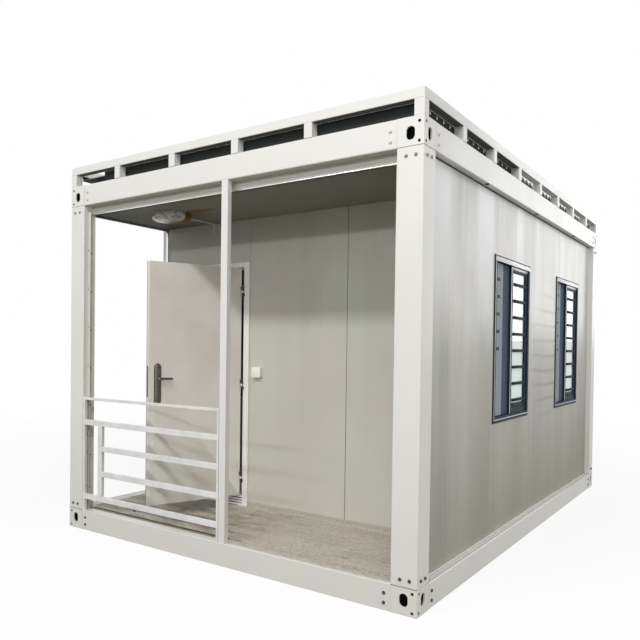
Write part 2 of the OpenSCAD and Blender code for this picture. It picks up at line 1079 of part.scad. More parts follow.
base_corner_blocks();
top_corner_blocks();
corner_columns();
base_side_beams();
base_end_beams();
top_side_beams();
top_end_beams();
roof_end_rails();
roof_side_rails();
roof_end_posts();
roof_side_posts();
roof_sheet();
roof_deck();
roof_purlins();
roof_joists();
ceiling_sheet();
floor_board();
floor_joists();
edge_channels();
right_wall();
right_window_wall();
left_wall();
left_window_wall();
back_wall();
partition_wall();
partition_over_door();
partition_end_post();
partition_track();
door_jambs();
door_head();
door_threshold();
door_hinge_pins();
porch_post();
porch_railing();
ceiling_lamp();
lamp_trunking();
light_switch();
window_frames();
window_sashes();
window_glass();
door_leaf();
door_hinge_leaves();
door_handle_plates();
door_lever();
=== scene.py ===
# %% [markdown]
# # A flat pack container house, dressed in Blender
# The steel frame, the walls, the windows and the door come from the CAD model, each part
# already in its place. This lesson gives them their real finishes and adds the small parts
# that a fitter adds on site: bolts, seals, bars, screws and handles. The frame loads first,
# and its box is kept.

# %% Load the house
import math
import random

import bmesh
import bpy
from mathutils import Matrix, Vector


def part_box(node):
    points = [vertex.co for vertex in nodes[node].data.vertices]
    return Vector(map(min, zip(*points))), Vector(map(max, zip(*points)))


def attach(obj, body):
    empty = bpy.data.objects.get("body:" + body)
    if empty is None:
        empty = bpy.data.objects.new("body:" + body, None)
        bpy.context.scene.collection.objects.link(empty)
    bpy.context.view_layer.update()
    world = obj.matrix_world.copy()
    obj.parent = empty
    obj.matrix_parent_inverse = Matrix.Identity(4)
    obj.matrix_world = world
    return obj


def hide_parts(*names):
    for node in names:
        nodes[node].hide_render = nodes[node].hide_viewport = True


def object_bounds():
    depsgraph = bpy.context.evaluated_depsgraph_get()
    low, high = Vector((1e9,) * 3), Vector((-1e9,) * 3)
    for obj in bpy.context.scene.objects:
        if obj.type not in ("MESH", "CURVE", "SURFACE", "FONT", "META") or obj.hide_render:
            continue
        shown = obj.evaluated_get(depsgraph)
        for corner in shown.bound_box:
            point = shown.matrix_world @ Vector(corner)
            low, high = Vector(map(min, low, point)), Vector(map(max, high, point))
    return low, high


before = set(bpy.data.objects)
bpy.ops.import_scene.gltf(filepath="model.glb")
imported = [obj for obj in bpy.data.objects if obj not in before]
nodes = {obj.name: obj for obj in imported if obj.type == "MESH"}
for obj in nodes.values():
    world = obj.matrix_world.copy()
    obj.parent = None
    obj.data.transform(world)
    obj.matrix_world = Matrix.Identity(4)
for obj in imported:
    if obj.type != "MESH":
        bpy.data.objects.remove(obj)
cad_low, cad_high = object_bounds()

print("size of the house in metres", [round(v, 3) for v in cad_high - cad_low])

# %% [markdown]
# A builder measures a house from one corner of its footprint, in millimetres. Blender works
# in metres from the middle of the model, so one small function turns a builder's measure
# into a Blender place. Everything after this is written with it. The main levels are read
# from the CAD parts, so the added parts stay on them.

# %% Measures from the left front corner of the ground
MM = 0.001
HOUSE_WIDTH = round((cad_high.x - cad_low.x) / MM)
HOUSE_LENGTH = round((cad_high.y - cad_low.y) / MM)


def at(x, y, z):
    return Vector((cad_low.x + x * MM, cad_low.y + y * MM, z * MM))


def measure(node):
    """Lowest and highest corner of a CAD part, as a builder's measures."""
    low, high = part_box(node)
    shift = Vector((cad_low.x, cad_low.y, 0))
    return (low - shift) / MM, (high - shift) / MM


FLOOR = measure("floor_board")[1].z
CEILING = measure("ceiling_sheet")[0].z
BEAM_UNDERSIDE = measure("corner_columns")[1].z
BEAM_TOP = measure("top_corner_blocks")[1].z
COLUMN = 160
INNER_RIGHT, INNER_BACK = HOUSE_WIDTH - COLUMN, HOUSE_LENGTH - COLUMN
print("width", HOUSE_WIDTH, "length", HOUSE_LENGTH, "floor", round(FLOOR),
      "ceiling", round(CEILING), "beam", round(BEAM_UNDERSIDE), "to", round(BEAM_TOP))

# %% [markdown]
# The camera stands at eye height off the right front corner, so that the open porch and
# the long side with its windows both show. A new camera looks straight down, so it is
# raised to the horizon, turned towards the house, and rolled by less than a degree.

# %% Camera
CAMERA_PLACE = at(4532.3, -3399.5, 1476.3)
TURN, RAISED, ROLL = (math.radians(v) for v in (36.536, 90 - 1.017, 0.685))
lens = bpy.data.cameras.new("camera")
lens.sensor_width = 36
lens.lens = 37.626
lens.shift_x, lens.shift_y = 0.078125, 0.060558
lens.clip_start, lens.clip_end = 0.05, 200
camera = bpy.data.objects.new("camera", lens)
camera.matrix_world = (Matrix.Translation(CAMERA_PLACE) @ Matrix.Rotation(TURN, 4, "Z")
                       @ Matrix.Rotation(RAISED, 4, "X") @ Matrix.Rotation(ROLL, 4, "Z"))
bpy.context.scene.collection.objects.link(camera)
bpy.context.scene.camera = camera
print("camera at", [round(v, 3) for v in CAMERA_PLACE], "lens", round(lens.lens, 1), "mm")

# %% [markdown]
# ## Finishes
# Each finish is a node tree. One function adds a node with its inputs and its settings, so
# the trees read like a list, and a node given as an input stands for its first output.
# Colours are written as paint charts give them, in sRGB hex, and one function turns them
# to the linear values that Blender mixes.

# %% Colour and node helpers


def linear(colour, alpha=1.0):
    parts = [int(colour[i:i + 2], 16) / 255 for i in (1, 3, 5)]
    return tuple(c / 12.92 if c <= 0.04045 else ((c + 0.055) / 1.055) ** 2.4
                 for c in parts) + (alpha,)


def put(tree, node, name, value):
    """Links a socket, or the first output of a node, to an input. Other values are set."""
    if isinstance(value, bpy.types.Node):
        value = value.outputs[0]
    if isinstance(value, bpy.types.NodeSocket):
        tree.links.new(value, node.inputs[name])
    else:
        node.inputs[name].default_value = value


def add(tree, kind, inputs=(), stops=(), **settings):
    """Adds a node. The stops are for a colour ramp, each of them a place and a shade."""
    node = tree.nodes.new("ShaderNode" + kind)
    for name, value in settings.items():
        setattr(node, name, value)
    for name, value in dict(inputs).items():
        put(tree, node, name, value)
    if stops:
        band = node.color_ramp.elements
        while len(band) < len(stops):
            band.new(0.5)
        for element, (place, shade) in zip(band, stops):
            element.position = place
            element.color = linear(shade) if isinstance(shade, str) else (shade,) * 3 + (1,)
    return node


def join(tree, node, **sockets):
    for name, value in sockets.items():
        put(tree, node, name.replace("_", " "), value)


def new_finish(name, **sockets):
    """A named material with one Principled shader, and object coordinates in metres."""
    material = bpy.data.materials.new(name)
    material.use_nodes = True
    tree = material.node_tree
    shader = tree.nodes["Principled BSDF"]
    join(tree, shader, **sockets)
    place = add(tree, "TexCoord").outputs["Object"]
    return material, tree, shader, place


print("near white enamel in linear values", [round(v, 3) for v in linear("#e9e7e1")])

# %% [markdown]
# Two steps come back in nearly every finish. Grime and wear lie over the tone below as far
# as a mask lets them, and stops turn a raw noise into that mask. A stain or a shadow keeps
# to an egg-shaped patch.

# %% Steps that finishes share
WAVE_PERIOD = 0.314  # metres from crest to crest in a wave texture of scale 1


def lay_over(tree, under, over, mask, stops=(), way="MIX"):
    """The colour of one tone laid over another, each a hex value or a socket."""
    if stops:
        mask = add(tree, "ValToRGB", {"Fac": mask}, stops)
    tones = {k: linear(v) if isinstance(v, str) else v for k, v in ((6, under), (7, over))}
    mix = add(tree, "Mix", {0: mask, **tones}, data_type="RGBA", blend_type=way)
    return mix.outputs[2]


def round_patch(tree, place, middle, reach):
    """1 in the middle of a patch, falling to 0 at its reach in metres along x, y and z."""
    field = add(tree, "Mapping", {"Vector": place, "Scale": [1 / r for r in reach],
                                  "Location": [-m / r for m, r in zip(middle, reach)]})
    return add(tree, "TexGradient", {"Vector": field},
               gradient_type="SPHERICAL").outputs["Fac"]


print("a rib each 33 mm is a wave of scale", round(WAVE_PERIOD / 0.033, 2))

# %% [markdown]
# The frame is rolled steel, welded and sprayed with a near white enamel in the works. What
# it gives the eye is a satin skin with a faint orange peel, slightly uneven in tone, with
# small scuffs and a film of road dust near the ground. The peel is about 3 mm across,
# which is drawn at 9 mm so that it shows at all.

# %% Sprayed enamel on steel
enamel, tree, shader, place = new_finish("sprayed enamel on steel", Roughness=0.36)
clouds = add(tree, "TexNoise", {"Vector": place, "Scale": 2.6, "Detail": 4.0})
tone = lay_over(tree, "#edebe6", "#e4e2db", clouds)
height = add(tree, "SeparateXYZ", {"Vector": place}).outputs["Z"]
dust_edge = add(tree, "TexNoise", {"Vector": place, "Scale": 14.0, "Detail": 6.0})
dust = add(tree, "Math", {0: dust_edge, 1: 0.16, 2: height}, operation="MULTIPLY_ADD")
tone = lay_over(tree, tone, "#cdc8b9", dust, ((0.06, 0.3), (0.3, 0.2), (1.0, 0.0)))
scuff = add(tree, "TexNoise", {"Vector": place, "Scale": 38.0, "Detail": 7.0,
                               "Roughness": 0.75})
tone = lay_over(tree, tone, "#b9b5a8", scuff, ((0.64, 0.0), (0.72, 0.35)))
peel = add(tree, "TexNoise", {"Vector": place, "Scale": 110.0, "Detail": 2.0})
satin = add(tree, "MapRange", {"Value": clouds, "To Min": 0.28, "To Max": 0.42})
bump = add(tree, "Bump", {"Height": peel, "Strength": 0.12, "Distance": 0.001})
join(tree, shader, Base_Color=tone, Roughness=satin, Normal=bump)
print(enamel.name, len(tree.nodes), "nodes")

# %% [markdown]
# The walls are sandwich panels: 50 mm of rock wool between two thin steel skins, coated
# in the coil before they are rolled. The rolling leaves faint upright streaks and wider
# bands, the grey has warmer patches, and the thin skin is never quite flat, so reflections
# swim in it. Towards the foot a third tone lies over the sheet, on the porch wall a lighter
# one: painted light.
#
# The outer walls stand in the weather. Their lower part is darker, with dust and painted
# shade, and duller. The upper part is painted lighter in bands 400 mm wide, a painted
# highlight laid out like rain wash. Between the windows on the right, faint dark wavy bands
# some 130 mm apart are a painted reflection of the window bars.

# %% Coil coated steel skin


def weather_and_painted_light(tree, place, tone, wide, height):
    """Lighter upright bands on the upper wall, a painted highlight, and dark wavy bands
    between the right windows, a painted reflection of the window bars.
    """
    above = add(tree, "MapRange", {"Value": height, "From Min": 1.5, "From Max": 2.4,
                                   "To Max": 0.9})
    runs = add(tree, "MapRange", {"Value": wide.outputs["Fac"], "From Min": 0.44,
                                  "From Max": 0.56})
    washed_and_lit = add(tree, "Math", {0: above, 1: runs}, operation="MULTIPLY")
    # Painted highlight: the upper wall lighter in wide upright bands.
    tone = lay_over(tree, tone, "#f4f4f5", washed_and_lit)
    # Painted reflection of the window bars: faint dark wavy bands between the right windows.
    bar_reflection_waves = add(tree, "TexWave", {"Vector": place, "Scale": WAVE_PERIOD / 0.13,
                                  "Distortion": 2.2, "Detail": 1.0, "Detail Scale": 0.7},
                wave_type="BANDS", bands_direction="Z")
    reflection_crest = add(tree, "ValToRGB", {"Fac": bar_reflection_waves.outputs["Fac"]}, ((0.0, 0.45), (0.24, 0.0)))
    patch = round_patch(tree, place, at(HOUSE_WIDTH, 2760, 1450), (3.3, 0.54, 0.65))
    shown = add(tree, "MapRange", {"Value": patch, "From Max": 0.4})
    painted_reflection = add(tree, "Math", {0: shown, 1: reflection_crest}, operation="MULTIPLY")
    return lay_over(tree, tone, "#8d8d87", painted_reflection)


def coil_coat(name, light, dark, foot, rough, level, foot_strength=0.75, warm=0.0, outdoors=False):
    """Streaked sheet between two tones, and a third one towards the foot: dust with painted
    shade outdoors, painted light on the porch wall and the door.
    """
    material, tree, shader, place = new_finish(name, Roughness=rough,
                                               Specular_IOR_Level=level)
    upright = add(tree, "Mapping", {"Vector": place, "Scale": (1.0, 1.0, 0.045),
                                    "Location": (0.0, -0.27 if outdoors else 0.0, 0.0)})
    streaks = add(tree, "TexNoise", {"Vector": upright, "Scale": 34.0, "Detail": 5.0,
                                     "Roughness": 0.6})
    wide = add(tree, "TexNoise", {"Vector": upright, "Scale": 2.6, "Detail": 3.0})
    broad = add(tree, "TexNoise", {"Vector": place, "Scale": 1.7, "Detail": 3.0})
    rolled = add(tree, "Math", {0: streaks, 1: 0.22, 2: wide}, operation="MULTIPLY_ADD")
    rolled = add(tree, "Math", {0: broad, 1: 0.8, 2: rolled}, operation="MULTIPLY_ADD")
    rolled = add(tree, "MapRange", {"Value": rolled, "From Min": 0.75, "From Max": 1.27})
    tone = lay_over(tree, light, dark, rolled)
    if warm:
        hue = add(tree, "TexNoise", {"Vector": place, "Scale": 2.3, "Detail": 2.0})
        tone = lay_over(tree, tone, "#cbbfb3", hue, ((0.4, 0.0), (0.6, warm)))
    height = add(tree, "SeparateXYZ", {"Vector": place}).outputs["Z"]
    # Towards the foot a third tone: dust and painted shade outdoors, painted light indoors.
    toward_foot = add(tree, "Math", {0: broad, 1: 0.5, 2: height}, operation="MULTIPLY_ADD")
    toward_foot = add(tree, "Math", {0: toward_foot, 1: 0.5}, operation="MULTIPLY")
    foot_mask = add(tree, "ValToRGB", {"Fac": toward_foot},
                 ((0.15, foot_strength), (0.5, foot_strength * 0.6), (1.0, 0.0)))
    tone = lay_over(tree, tone, foot, foot_mask)
    if outdoors:
        tone = weather_and_painted_light(tree, place, tone, wide, height)
        dull = add(tree, "MapRange", {"Value": foot_mask, "From Max": foot_strength, "To Min": rough,
                                      "To Max": rough + 0.4})
        join(tree, shader, Roughness=dull)
    skin = add(tree, "Mapping", {"Vector": place, "Scale": (1.0, 1.0, 0.5)})
    swell = add(tree, "TexNoise", {"Vector": skin, "Scale": 3.2, "Detail": 1.0})
    bump = add(tree, "Bump", {"Height": swell, "Strength": 0.35, "Distance": 0.006})
    fine = add(tree, "Bump", {"Height": streaks, "Strength": 0.08, "Distance": 0.001,
                              "Normal": bump})
    join(tree, shader, Base_Color=tone, Normal=fine)
    return material


# The porch wall's foot tone is lighter than its sheet: painted light.
facing = coil_coat("coil coated steel skin", "#cbccc2", "#bcbdb2", "#d3d0c5", 0.3, 0.3,
                   warm=0.45)
# The outer walls' foot tone is darker: dust and painted shade.
outer_facing = coil_coat("outdoor coil coated steel skin with painted light", "#dfdfda", "#b0b0a9", "#a39e8e",
                         0.32, 0.2, foot_strength=0.85, warm=0.25, outdoors=True)
print(facing.name, "and", outer_facing.name, "ready")

# %% [markdown]
# The roof is thinner rolled sheet in the same coat, greyer with age on top. The door leaf
# is pressed steel with a warmer, baked powder coat, painted lighter towards its foot: a
# painted light.

# %% Roof sheet and door coat
roof_coat = coil_coat("rolled roof sheet", "#c9cac6", "#bcbdb8", "#bcbdb8", 0.4, 0.5)
# The door's foot tone is lighter than its sheet: painted light.
door_coat = coil_coat("powder coated door steel", "#efeae1", "#e6e0d5", "#f5f2eb", 0.42, 0.4,
                      warm=0.3)
print(roof_coat.name, "and", door_coat.name, "ready")

# %% [markdown]
# The ceiling sheet has shallow ribs 33 mm apart that run across the house. Its grey is
# darker than the walls', painted shade for the shade under the porch roof, with a darker
# band on each rib, painted shade in the rib hollows. It is duller than the walls, and it
# grows darker towards the open left side. A leak at the lamp has left a brown streak along
# the ribs on its right and olive ones on its left.

# %% Rolled ceiling sheet
ceiling_coat, tree, shader, place = new_finish("rolled ceiling sheet", Roughness=0.6,
                                               Specular_IOR_Level=0.1)
ribs = add(tree, "TexWave", {"Vector": place, "Scale": WAVE_PERIOD / 0.033, "Distortion": 0.0},
           wave_type="BANDS", bands_direction="Y")
mottle = add(tree, "TexNoise", {"Vector": place, "Scale": 3.0, "Detail": 4.0})
# Painted shade: a grey darker than the walls' for the shade under the porch roof.
tone = lay_over(tree, "#918f82", "#838276", mottle)
# Painted shade in the rib hollows: a darker band on each rib.
tone = lay_over(tree, tone, "#5f5e54", ribs.outputs["Fac"], ((0.0, 0.55), (0.25, 0.0)))
from_side = add(tree, "SeparateXYZ", {"Vector": place}).outputs["X"]
# Darker towards the open left side.
toward_left_side = add(tree, "MapRange", {"Value": from_side, "From Min": at(150, 0, 0).x,
                              "From Max": at(620, 0, 0).x, "To Min": 0.85, "To Max": 0.0})
tone = lay_over(tree, tone, "#3b3c34", toward_left_side)
edge_noise = add(tree, "TexNoise", {"Vector": place, "Scale": 30.0, "Detail": 4.0})
for middle, reach, stain, strength in (
        ((930, 452), (0.26, 0.062, 0.2), "#7d5a30", 0.9),
        ((700, 560), (0.36, 0.16, 0.2), "#6f6a48", 0.5),
        ((400, 450), (0.16, 0.07, 0.2), "#77703f", 0.6)):
    patch = round_patch(tree, place, at(*middle, CEILING), reach)
    spot = add(tree, "Math", {0: edge_noise, 1: 0.5, 2: patch}, operation="MULTIPLY_ADD")
    tone = lay_over(tree, tone, stain, spot, ((0.36, 0.0), (0.6, strength)))
bump = add(tree, "Bump", {"Height": ribs.outputs["Fac"], "Strength": 0.4, "Distance": 0.0015})
join(tree, shader, Base_Color=tone, Normal=bump)
print(ceiling_coat.name, len(tree.nodes), "nodes")

# %% [markdown]
# The floor joists are galvanised: dipped in zinc, which freezes in crystals, called
# spangle, some 10 mm across. Each crystal leans its own way, so each has its own grey.

# %% Galvanised steel
SPANGLE = 95.0  # crystals in a metre
zinc, tree, shader, place = new_finish("galvanised steel", Metallic=0.55, Roughness=0.5)
spangle = add(tree, "TexVoronoi", {"Vector": place, "Scale": SPANGLE}, feature="F1")
grain = add(tree, "TexNoise", {"Vector": place, "Scale": 5.0, "Detail": 6.0})
crystal = add(tree, "RGBToBW", {"Color": spangle.outputs["Color"]})
tone = lay_over(tree, "#b9b6ad", "#a5a299", crystal)
tone = lay_over(tree, tone, "#c8c5bb", grain)
dull = add(tree, "MapRange", {"Value": spangle, "To Min": 0.42, "To Max": 0.6})
join(tree, shader, Base_Color=tone, Roughness=dull)
print(zinc.name, "spangle about", round(1000 / SPANGLE), "mm")

# %% [markdown]
# The porch floor is a printed PVC sheet on board, with a grey worn wood print. Boards
# 150 mm wide run across the porch and the grain runs along them. Feet have worn it pale,
# and left dust, specks and dark smears, most of them in front of the door.

# %% Printed PVC flooring
flooring, tree, shader, place = new_finish("printed PVC flooring", Roughness=0.55)
boards = add(tree, "Mapping", {"Vector": place, "Scale": (0.8, 6.6, 1.0)})
board_tone = add(tree, "TexVoronoi", {"Vector": boards, "Scale": 1.0, "Randomness": 0.4},
                 feature="F1")
along = add(tree, "Mapping", {"Vector": place, "Scale": (1.6, 22.0, 1.0)})
grain = add(tree, "TexNoise", {"Vector": along, "Scale": 3.2, "Detail": 8.0, "Roughness": 0.7,
                               "Distortion": 0.6})
wood = add(tree, "ValToRGB", {"Fac": grain},
           ((0.3, "#aaa496"), (0.5, "#c4beb0"), (0.7, "#d5cfc2")))
one_board = add(tree, "RGBToBW", {"Color": board_tone.outputs["Color"]})
tone = lay_over(tree, wood, one_board, 0.3, way="SOFT_LIGHT")
wear = add(tree, "TexNoise", {"Vector": place, "Scale": 4.0, "Detail": 8.0, "Roughness": 0.7})
tone = lay_over(tree, tone, "#d3cdc0", wear, ((0.36, 0.0), (0.62, 0.7)))
trodden = add(tree, "Mapping", {"Vector": place, "Scale": (1.0, 2.4, 1.0)})
smear = add(tree, "TexNoise", {"Vector": trodden, "Scale": 4.6, "Detail": 10.0,
                               "Roughness": 0.76, "Distortion": 0.3})
from_left = add(tree, "SeparateXYZ", {"Vector": place}).outputs["X"]
toward_door = add(tree, "MapRange", {"Value": from_left, "From Min": at(900, 0, 0).x,
                                     "From Max": at(1900, 0, 0).x, "To Min": 0.075,
                                     "To Max": -0.06})
smear = add(tree, "Math", {0: smear, 1: toward_door}, operation="ADD")
tone = lay_over(tree, tone, "#756d5b", smear, ((0.5, 0.0), (0.6, 0.5), (0.72, 0.85)))
speck = add(tree, "TexNoise", {"Vector": place, "Scale": 60.0, "Detail": 5.0,
                               "Roughness": 0.8})
tone = lay_over(tree, tone, "#837b6b", speck, ((0.44, 0.0), (0.62, 0.6)))
marks = add(tree, "TexNoise", {"Vector": place, "Scale": 24.0, "Detail": 3.0})
tone = lay_over(tree, tone, "#5c574d", marks, ((0.7, 0.0), (0.78, 0.7)))
relief = add(tree, "Bump", {"Height": grain, "Strength": 0.15, "Distance": 0.001})
join(tree, shader, Base_Color=tone, Normal=relief)
print(flooring.name, len(tree.nodes), "nodes")

# %% [markdown]
# The small finishes follow. They are one colour each, so a little grime and a little
# change in gloss do the work. Each starts from what the real thing is made of, and the note
# above it says what that gives the eye. The grit is the size of its mottling in
# millimetres, and the two last numbers are how rough it is and how much of it is bare metal.

# %% Small finishes


def plain_finish(name, light, dark, grit, rough, metal=0.0, **more):
    """A one colour finish with mottling of the given size in millimetres."""
    material, tree, shader, place = new_finish(name, Metallic=metal, **more)
    mottle = add(tree, "TexNoise", {"Vector": place, "Scale": 1000 / grit, "Detail": 5.0})
    tone = lay_over(tree, light, dark, mottle)
    gloss = add(tree, "MapRange", {"Value": mottle, "To Min": rough - 0.08,
                                   "To Max": rough + 0.08})
    bump = add(tree, "Bump", {"Height": mottle, "Strength": 0.3, "Distance": 0.0004})
    join(tree, shader, Base_Color=tone, Roughness=gloss, Normal=bump)
    return material


# White coats on the frame and the trims: satin, the railing's worn through to grey, and a
# chalky film of dust where nobody wipes. The white trim also gives painted highlights on
# edges and painted daylight under the roof ribs.
white_trim_and_highlight = plain_finish("white trim and painted light", "#f4f3ef", "#ebe9e3", 120, 0.3)
channel_coat = plain_finish("primed folded steel", "#dcd9d0", "#cfcbc0", 80, 0.42)
worn_paint = plain_finish("scuffed white paint", "#fbfaf7", "#cfcec9", 130, 0.42)
dusty = plain_finish("dust on white enamel", "#dfdbd5", "#cdc8c0", 70, 0.6)
# Bright metal strips that are painted highlights, a brushed grey cap painted lighter as
# painted light, and powder coated aluminium, dark blue and nearly dull.
bright_metal_highlight = plain_finish("bright metal painted highlight", "#f4f4f4", "#ebebeb", 80, 0.16, 1.0)
end_post_lit_grey = plain_finish("brushed grey cap, painted light", "#c9c5c4", "#b9b5b3", 160, 0.3, 0.6)
aluminium = plain_finish("powder coated aluminium", "#2d3a48", "#212c37", 40, 0.5,
                         Specular_IOR_Level=0.06)
# Bolts and fittings: zinc plate that still glints, plate gone dark with grime, bolt heads
# in a darker grey that is painted shade, an antique zinc casting, and brass, whose brown on
# the lamp rim is painted shade for its inner edge.
plating = plain_finish("zinc plated steel", "#b9b9b4", "#8f8f8a", 9, 0.36, 0.9)
dirty_plating = plain_finish("grimed bolt steel", "#565349", "#33312b", 9, 0.55, 0.4)
bolt_shade_grey = plain_finish("grey bolt paint, painted shade", "#a5a39a", "#77756d", 8, 0.5)
bronze = plain_finish("antique die cast zinc", "#98948a", "#403d36", 14, 0.32, 0.75)
# Painted shade: the brown stands in for the lamp rim's inner edge in shade.
brass_and_rim_shade = plain_finish("brass with painted rim shade", "#94703a", "#5e4522", 12, 0.45, 0.5)
# Dark, matt finishes, with hardly a highlight, for steel that gets no light. The near black
# one and the grey under the roof rails are painted shade.
near_black_shade = plain_finish("near black painted shade", "#101111", "#090909", 40, 0.9,
                      Specular_IOR_Level=0.02)
bar_paint = plain_finish("black painted bar", "#101112", "#090a0a", 20, 0.6,
                         Specular_IOR_Level=0.1)
# Painted shade: dark grey under the roof rails.
rail_shade = plain_finish("painted shade under the roof rail", "#6b6c65", "#55564f", 90, 0.7,
                          Specular_IOR_Level=0.1)
rafter_coat = plain_finish("primed roof steel", "#6d6f6a", "#5a5c57", 150, 0.5)
roof_board = plain_finish("tarred roof board", "#252c2a", "#161b1a", 60, 0.6,
                          Specular_IOR_Level=0.2)
# Plastics and rubber: clean ABS, trunking that has aged to a glossy cream, and matt black
# seals. The white one is a painted highlight for lit edges.
moulded = plain_finish("moulded white plastic", "#faf9f4", "#f2f0e8", 60, 0.38)
aged_plastic = plain_finish("aged trunking plastic", "#f1efe8", "#dbd8ce", 40, 0.25,
                            Coat_Weight=1.0)
white_highlight_paint = plain_finish("white painted highlight", "#eeeeec", "#d9dad8", 30, 0.35)
rubber = plain_finish("extruded rubber seal", "#1c1d1e", "#121313", 6, 0.62)
# In the windows: a grey blue mesh, woven so fine that it reads as one tone, a navy painted
# shade that takes the light, and a pale blind that gives it back.
screen_mesh = plain_finish("woven insect screen", "#a3afb4", "#7f8b91", 5, 0.7)
navy_shade_paint = plain_finish("navy painted shade", "#3b4c60", "#2b3949", 30, 0.8)
pale_blind = plain_finish("pale roller blind", "#eceeef", "#dfe2e3", 90, 0.6)
# Fillers and dirt in the joints, all matt: sealant, foam, mud and a track full of grime.
# The grey sealant, the dark filler and the mud are also used as painted shade in gaps and
# grooves.
grey_sealant_and_shade = plain_finish("grey sealant and painted shade", "#85837a", "#706e65", 30, 0.5)
pale_sealant = plain_finish("smoothed pale sealant", "#d5d2c5", "#c2bfb2", 30, 0.5)
dark_filler_and_shade = plain_finish("dark joint filler and painted shade", "#3a3933", "#282723", 30, 0.7)
mud_and_shade = plain_finish("dried mud and painted shade", "#4b4231", "#2e281d", 12, 0.85)
grimy_track = plain_finish("grimed floor track", "#d6d4c6", "#8f8c7c", 11, 0.6)
print(len(bpy.data.materials), "finishes so far")

# %% [markdown]
# Window glass here is 5 mm float glass, faintly green. Light has to pass it for the room
# to be lit, so rays from lamps see it as clear, and everything else sees real glass. Its
# index of refraction is 1.15 and not 1.5, because flat panes in front of a white room
# would mirror it and hide the blind that really shows behind them.

# %% Float glass
glass, tree, shader, place = new_finish("float glass", Roughness=0.0, IOR=1.15,
                                        Transmission_Weight=1.0)
shader.inputs["Base Color"].default_value = linear("#eaf0ee")
through = add(tree, "BsdfTransparent", {"Color": linear("#dbe6e3")})
lamp_ray = add(tree, "LightPath").outputs["Is Shadow Ray"]
pane = add(tree, "MixShader", {0: lamp_ray, 1: shader, 2: through})
join(tree, tree.nodes["Material Output"], Surface=pane)
print(glass.name, "ready")

# %% [markdown]
# The lamp shade is swirled opal acrylic: white, clouded with grey, softly glossy.

# %% Opal acrylic
opal, tree, shader, place = new_finish("swirled opal acrylic", Roughness=0.25)
swirl = add(tree, "TexNoise", {"Vector": place, "Scale": 9.0, "Detail": 4.0,
                               "Distortion": 2.5})
clouded = add(tree, "ValToRGB", {"Fac": swirl}, ((0.35, "#dedbd6"), (0.62, "#8f8b86")))
join(tree, shader, Base_Color=clouded)
print(opal.name, "ready")

# %% [markdown]
# ## Finishes on the CAD parts
# Every CAD part keeps its shape. Rolled and folded steel has rounded corners of 2 to 4 mm,
# which catch the light as thin bright lines, so a Weld and a Bevel modifier round them. The
# radius in millimetres stands beside each finish, and 0 leaves the parts as they are.

# %% Give each CAD part its finish
FINISHES = (
    (enamel, 0, "base_corner_blocks top_corner_blocks"),
    (enamel, 2, "roof_end_posts roof_side_posts"),
    (enamel, 2.5, "porch_post"),
    (enamel, 3, "roof_end_rails roof_side_rails"),
    (enamel, 4, "corner_columns base_end_beams top_side_beams top_end_beams"),
    (enamel, 5, "base_side_beams"),
    (worn_paint, 2, "porch_railing"),
    (channel_coat, 1.2, "edge_channels"),
    (outer_facing, 1.5, "right_wall right_window_wall left_wall left_window_wall back_wall"),
    (facing, 1.5, "partition_wall partition_over_door"),
    (end_post_lit_grey, 1, "partition_end_post"),
    (grimy_track, 1, "partition_track"),
    (white_trim_and_highlight, 1.5, "door_jambs door_head door_threshold"),
    (door_coat, 1.5, "door_leaf"),
    (aluminium, 1.2, "window_frames window_sashes"),
    (glass, 0, "window_glass"),
    (aged_plastic, 1, "lamp_trunking"),
    (ceiling_coat, 0, "ceiling_sheet"),
    (flooring, 0, "floor_board"),
    (zinc, 1, "floor_joists"),
    (roof_coat, 0, "roof_sheet"),
    (roof_board, 0, "roof_deck"),
    (rafter_coat, 1, "roof_purlins roof_joists"))


def round_edges(piece, radius):
    weld = piece.modifiers.new("join faces", "WELD")
    weld.merge_threshold = 0.00002
    rounding = piece.modifiers.new("rounded edges", "BEVEL")
    rounding.width = radius * MM
    rounding.segments = 2
    rounding.limit_method = "ANGLE"
    rounding.angle_limit = math.radians(40)


bare = set(nodes)
for finish, radius, names in FINISHES:
    for name in names.split():
        for slot in nodes[name].material_slots:
            slot.material = finish
        if radius:
            round_edges(nodes[name], radius)
        bare.remove(name)
print(len(nodes) - len(bare), "parts finished,", sorted(bare), "to replace")

# %% [markdown]
# ## Tools for new parts
# Everything on the door leaf is modelled as if the door were closed, which keeps its
# measures square, and is then turned 69 degrees about the hinges, as the leaf stands.

# %% The door's turn
PIN_X, PIN_Y = 1052.5, 908
HINGE = at(PIN_X, PIN_Y, 0)
OPENED = (Matrix.Translation(HINGE) @ Matrix.Rotation(math.radians(69), 4, "Z")
          @ Matrix.Translation(-HINGE))
print("leaf turned about", [round(v, 3) for v in HINGE])

# %% [markdown]
# Three tools shape most small parts: a bar with softened edges between two corners, a
# round or hexagonal boss on a face, and a profile spun round an axis. A cube, a cone and a
# spin are enough, because real fittings are cut from bars and turned on lathes too.

# %% Bars, bosses and spun shapes
AXES = {"x": Matrix.Rotation(math.pi / 2, 4, "Y"), "y": Matrix.Rotation(math.pi / 2, 4, "X"),
        "z": Matrix.Identity(4)}


def bar(mesh, low, high, edge=1.0):
    """A bar between two corners in a builder's measures, edges softened by edge mm."""
    corners = bmesh.ops.create_cube(mesh, size=1.0)["verts"]
    low, high = at(*low), at(*high)
    bmesh.ops.scale(mesh, vec=high - low, verts=corners)
    bmesh.ops.translate(mesh, vec=(low + high) / 2, verts=corners)
    edges = list({e for v in corners for e in v.link_edges})
    if edge:
        bmesh.ops.bevel(mesh, geom=edges, offset=edge * MM, segments=2, profile=0.5,
                        affect="EDGES", material=-1)


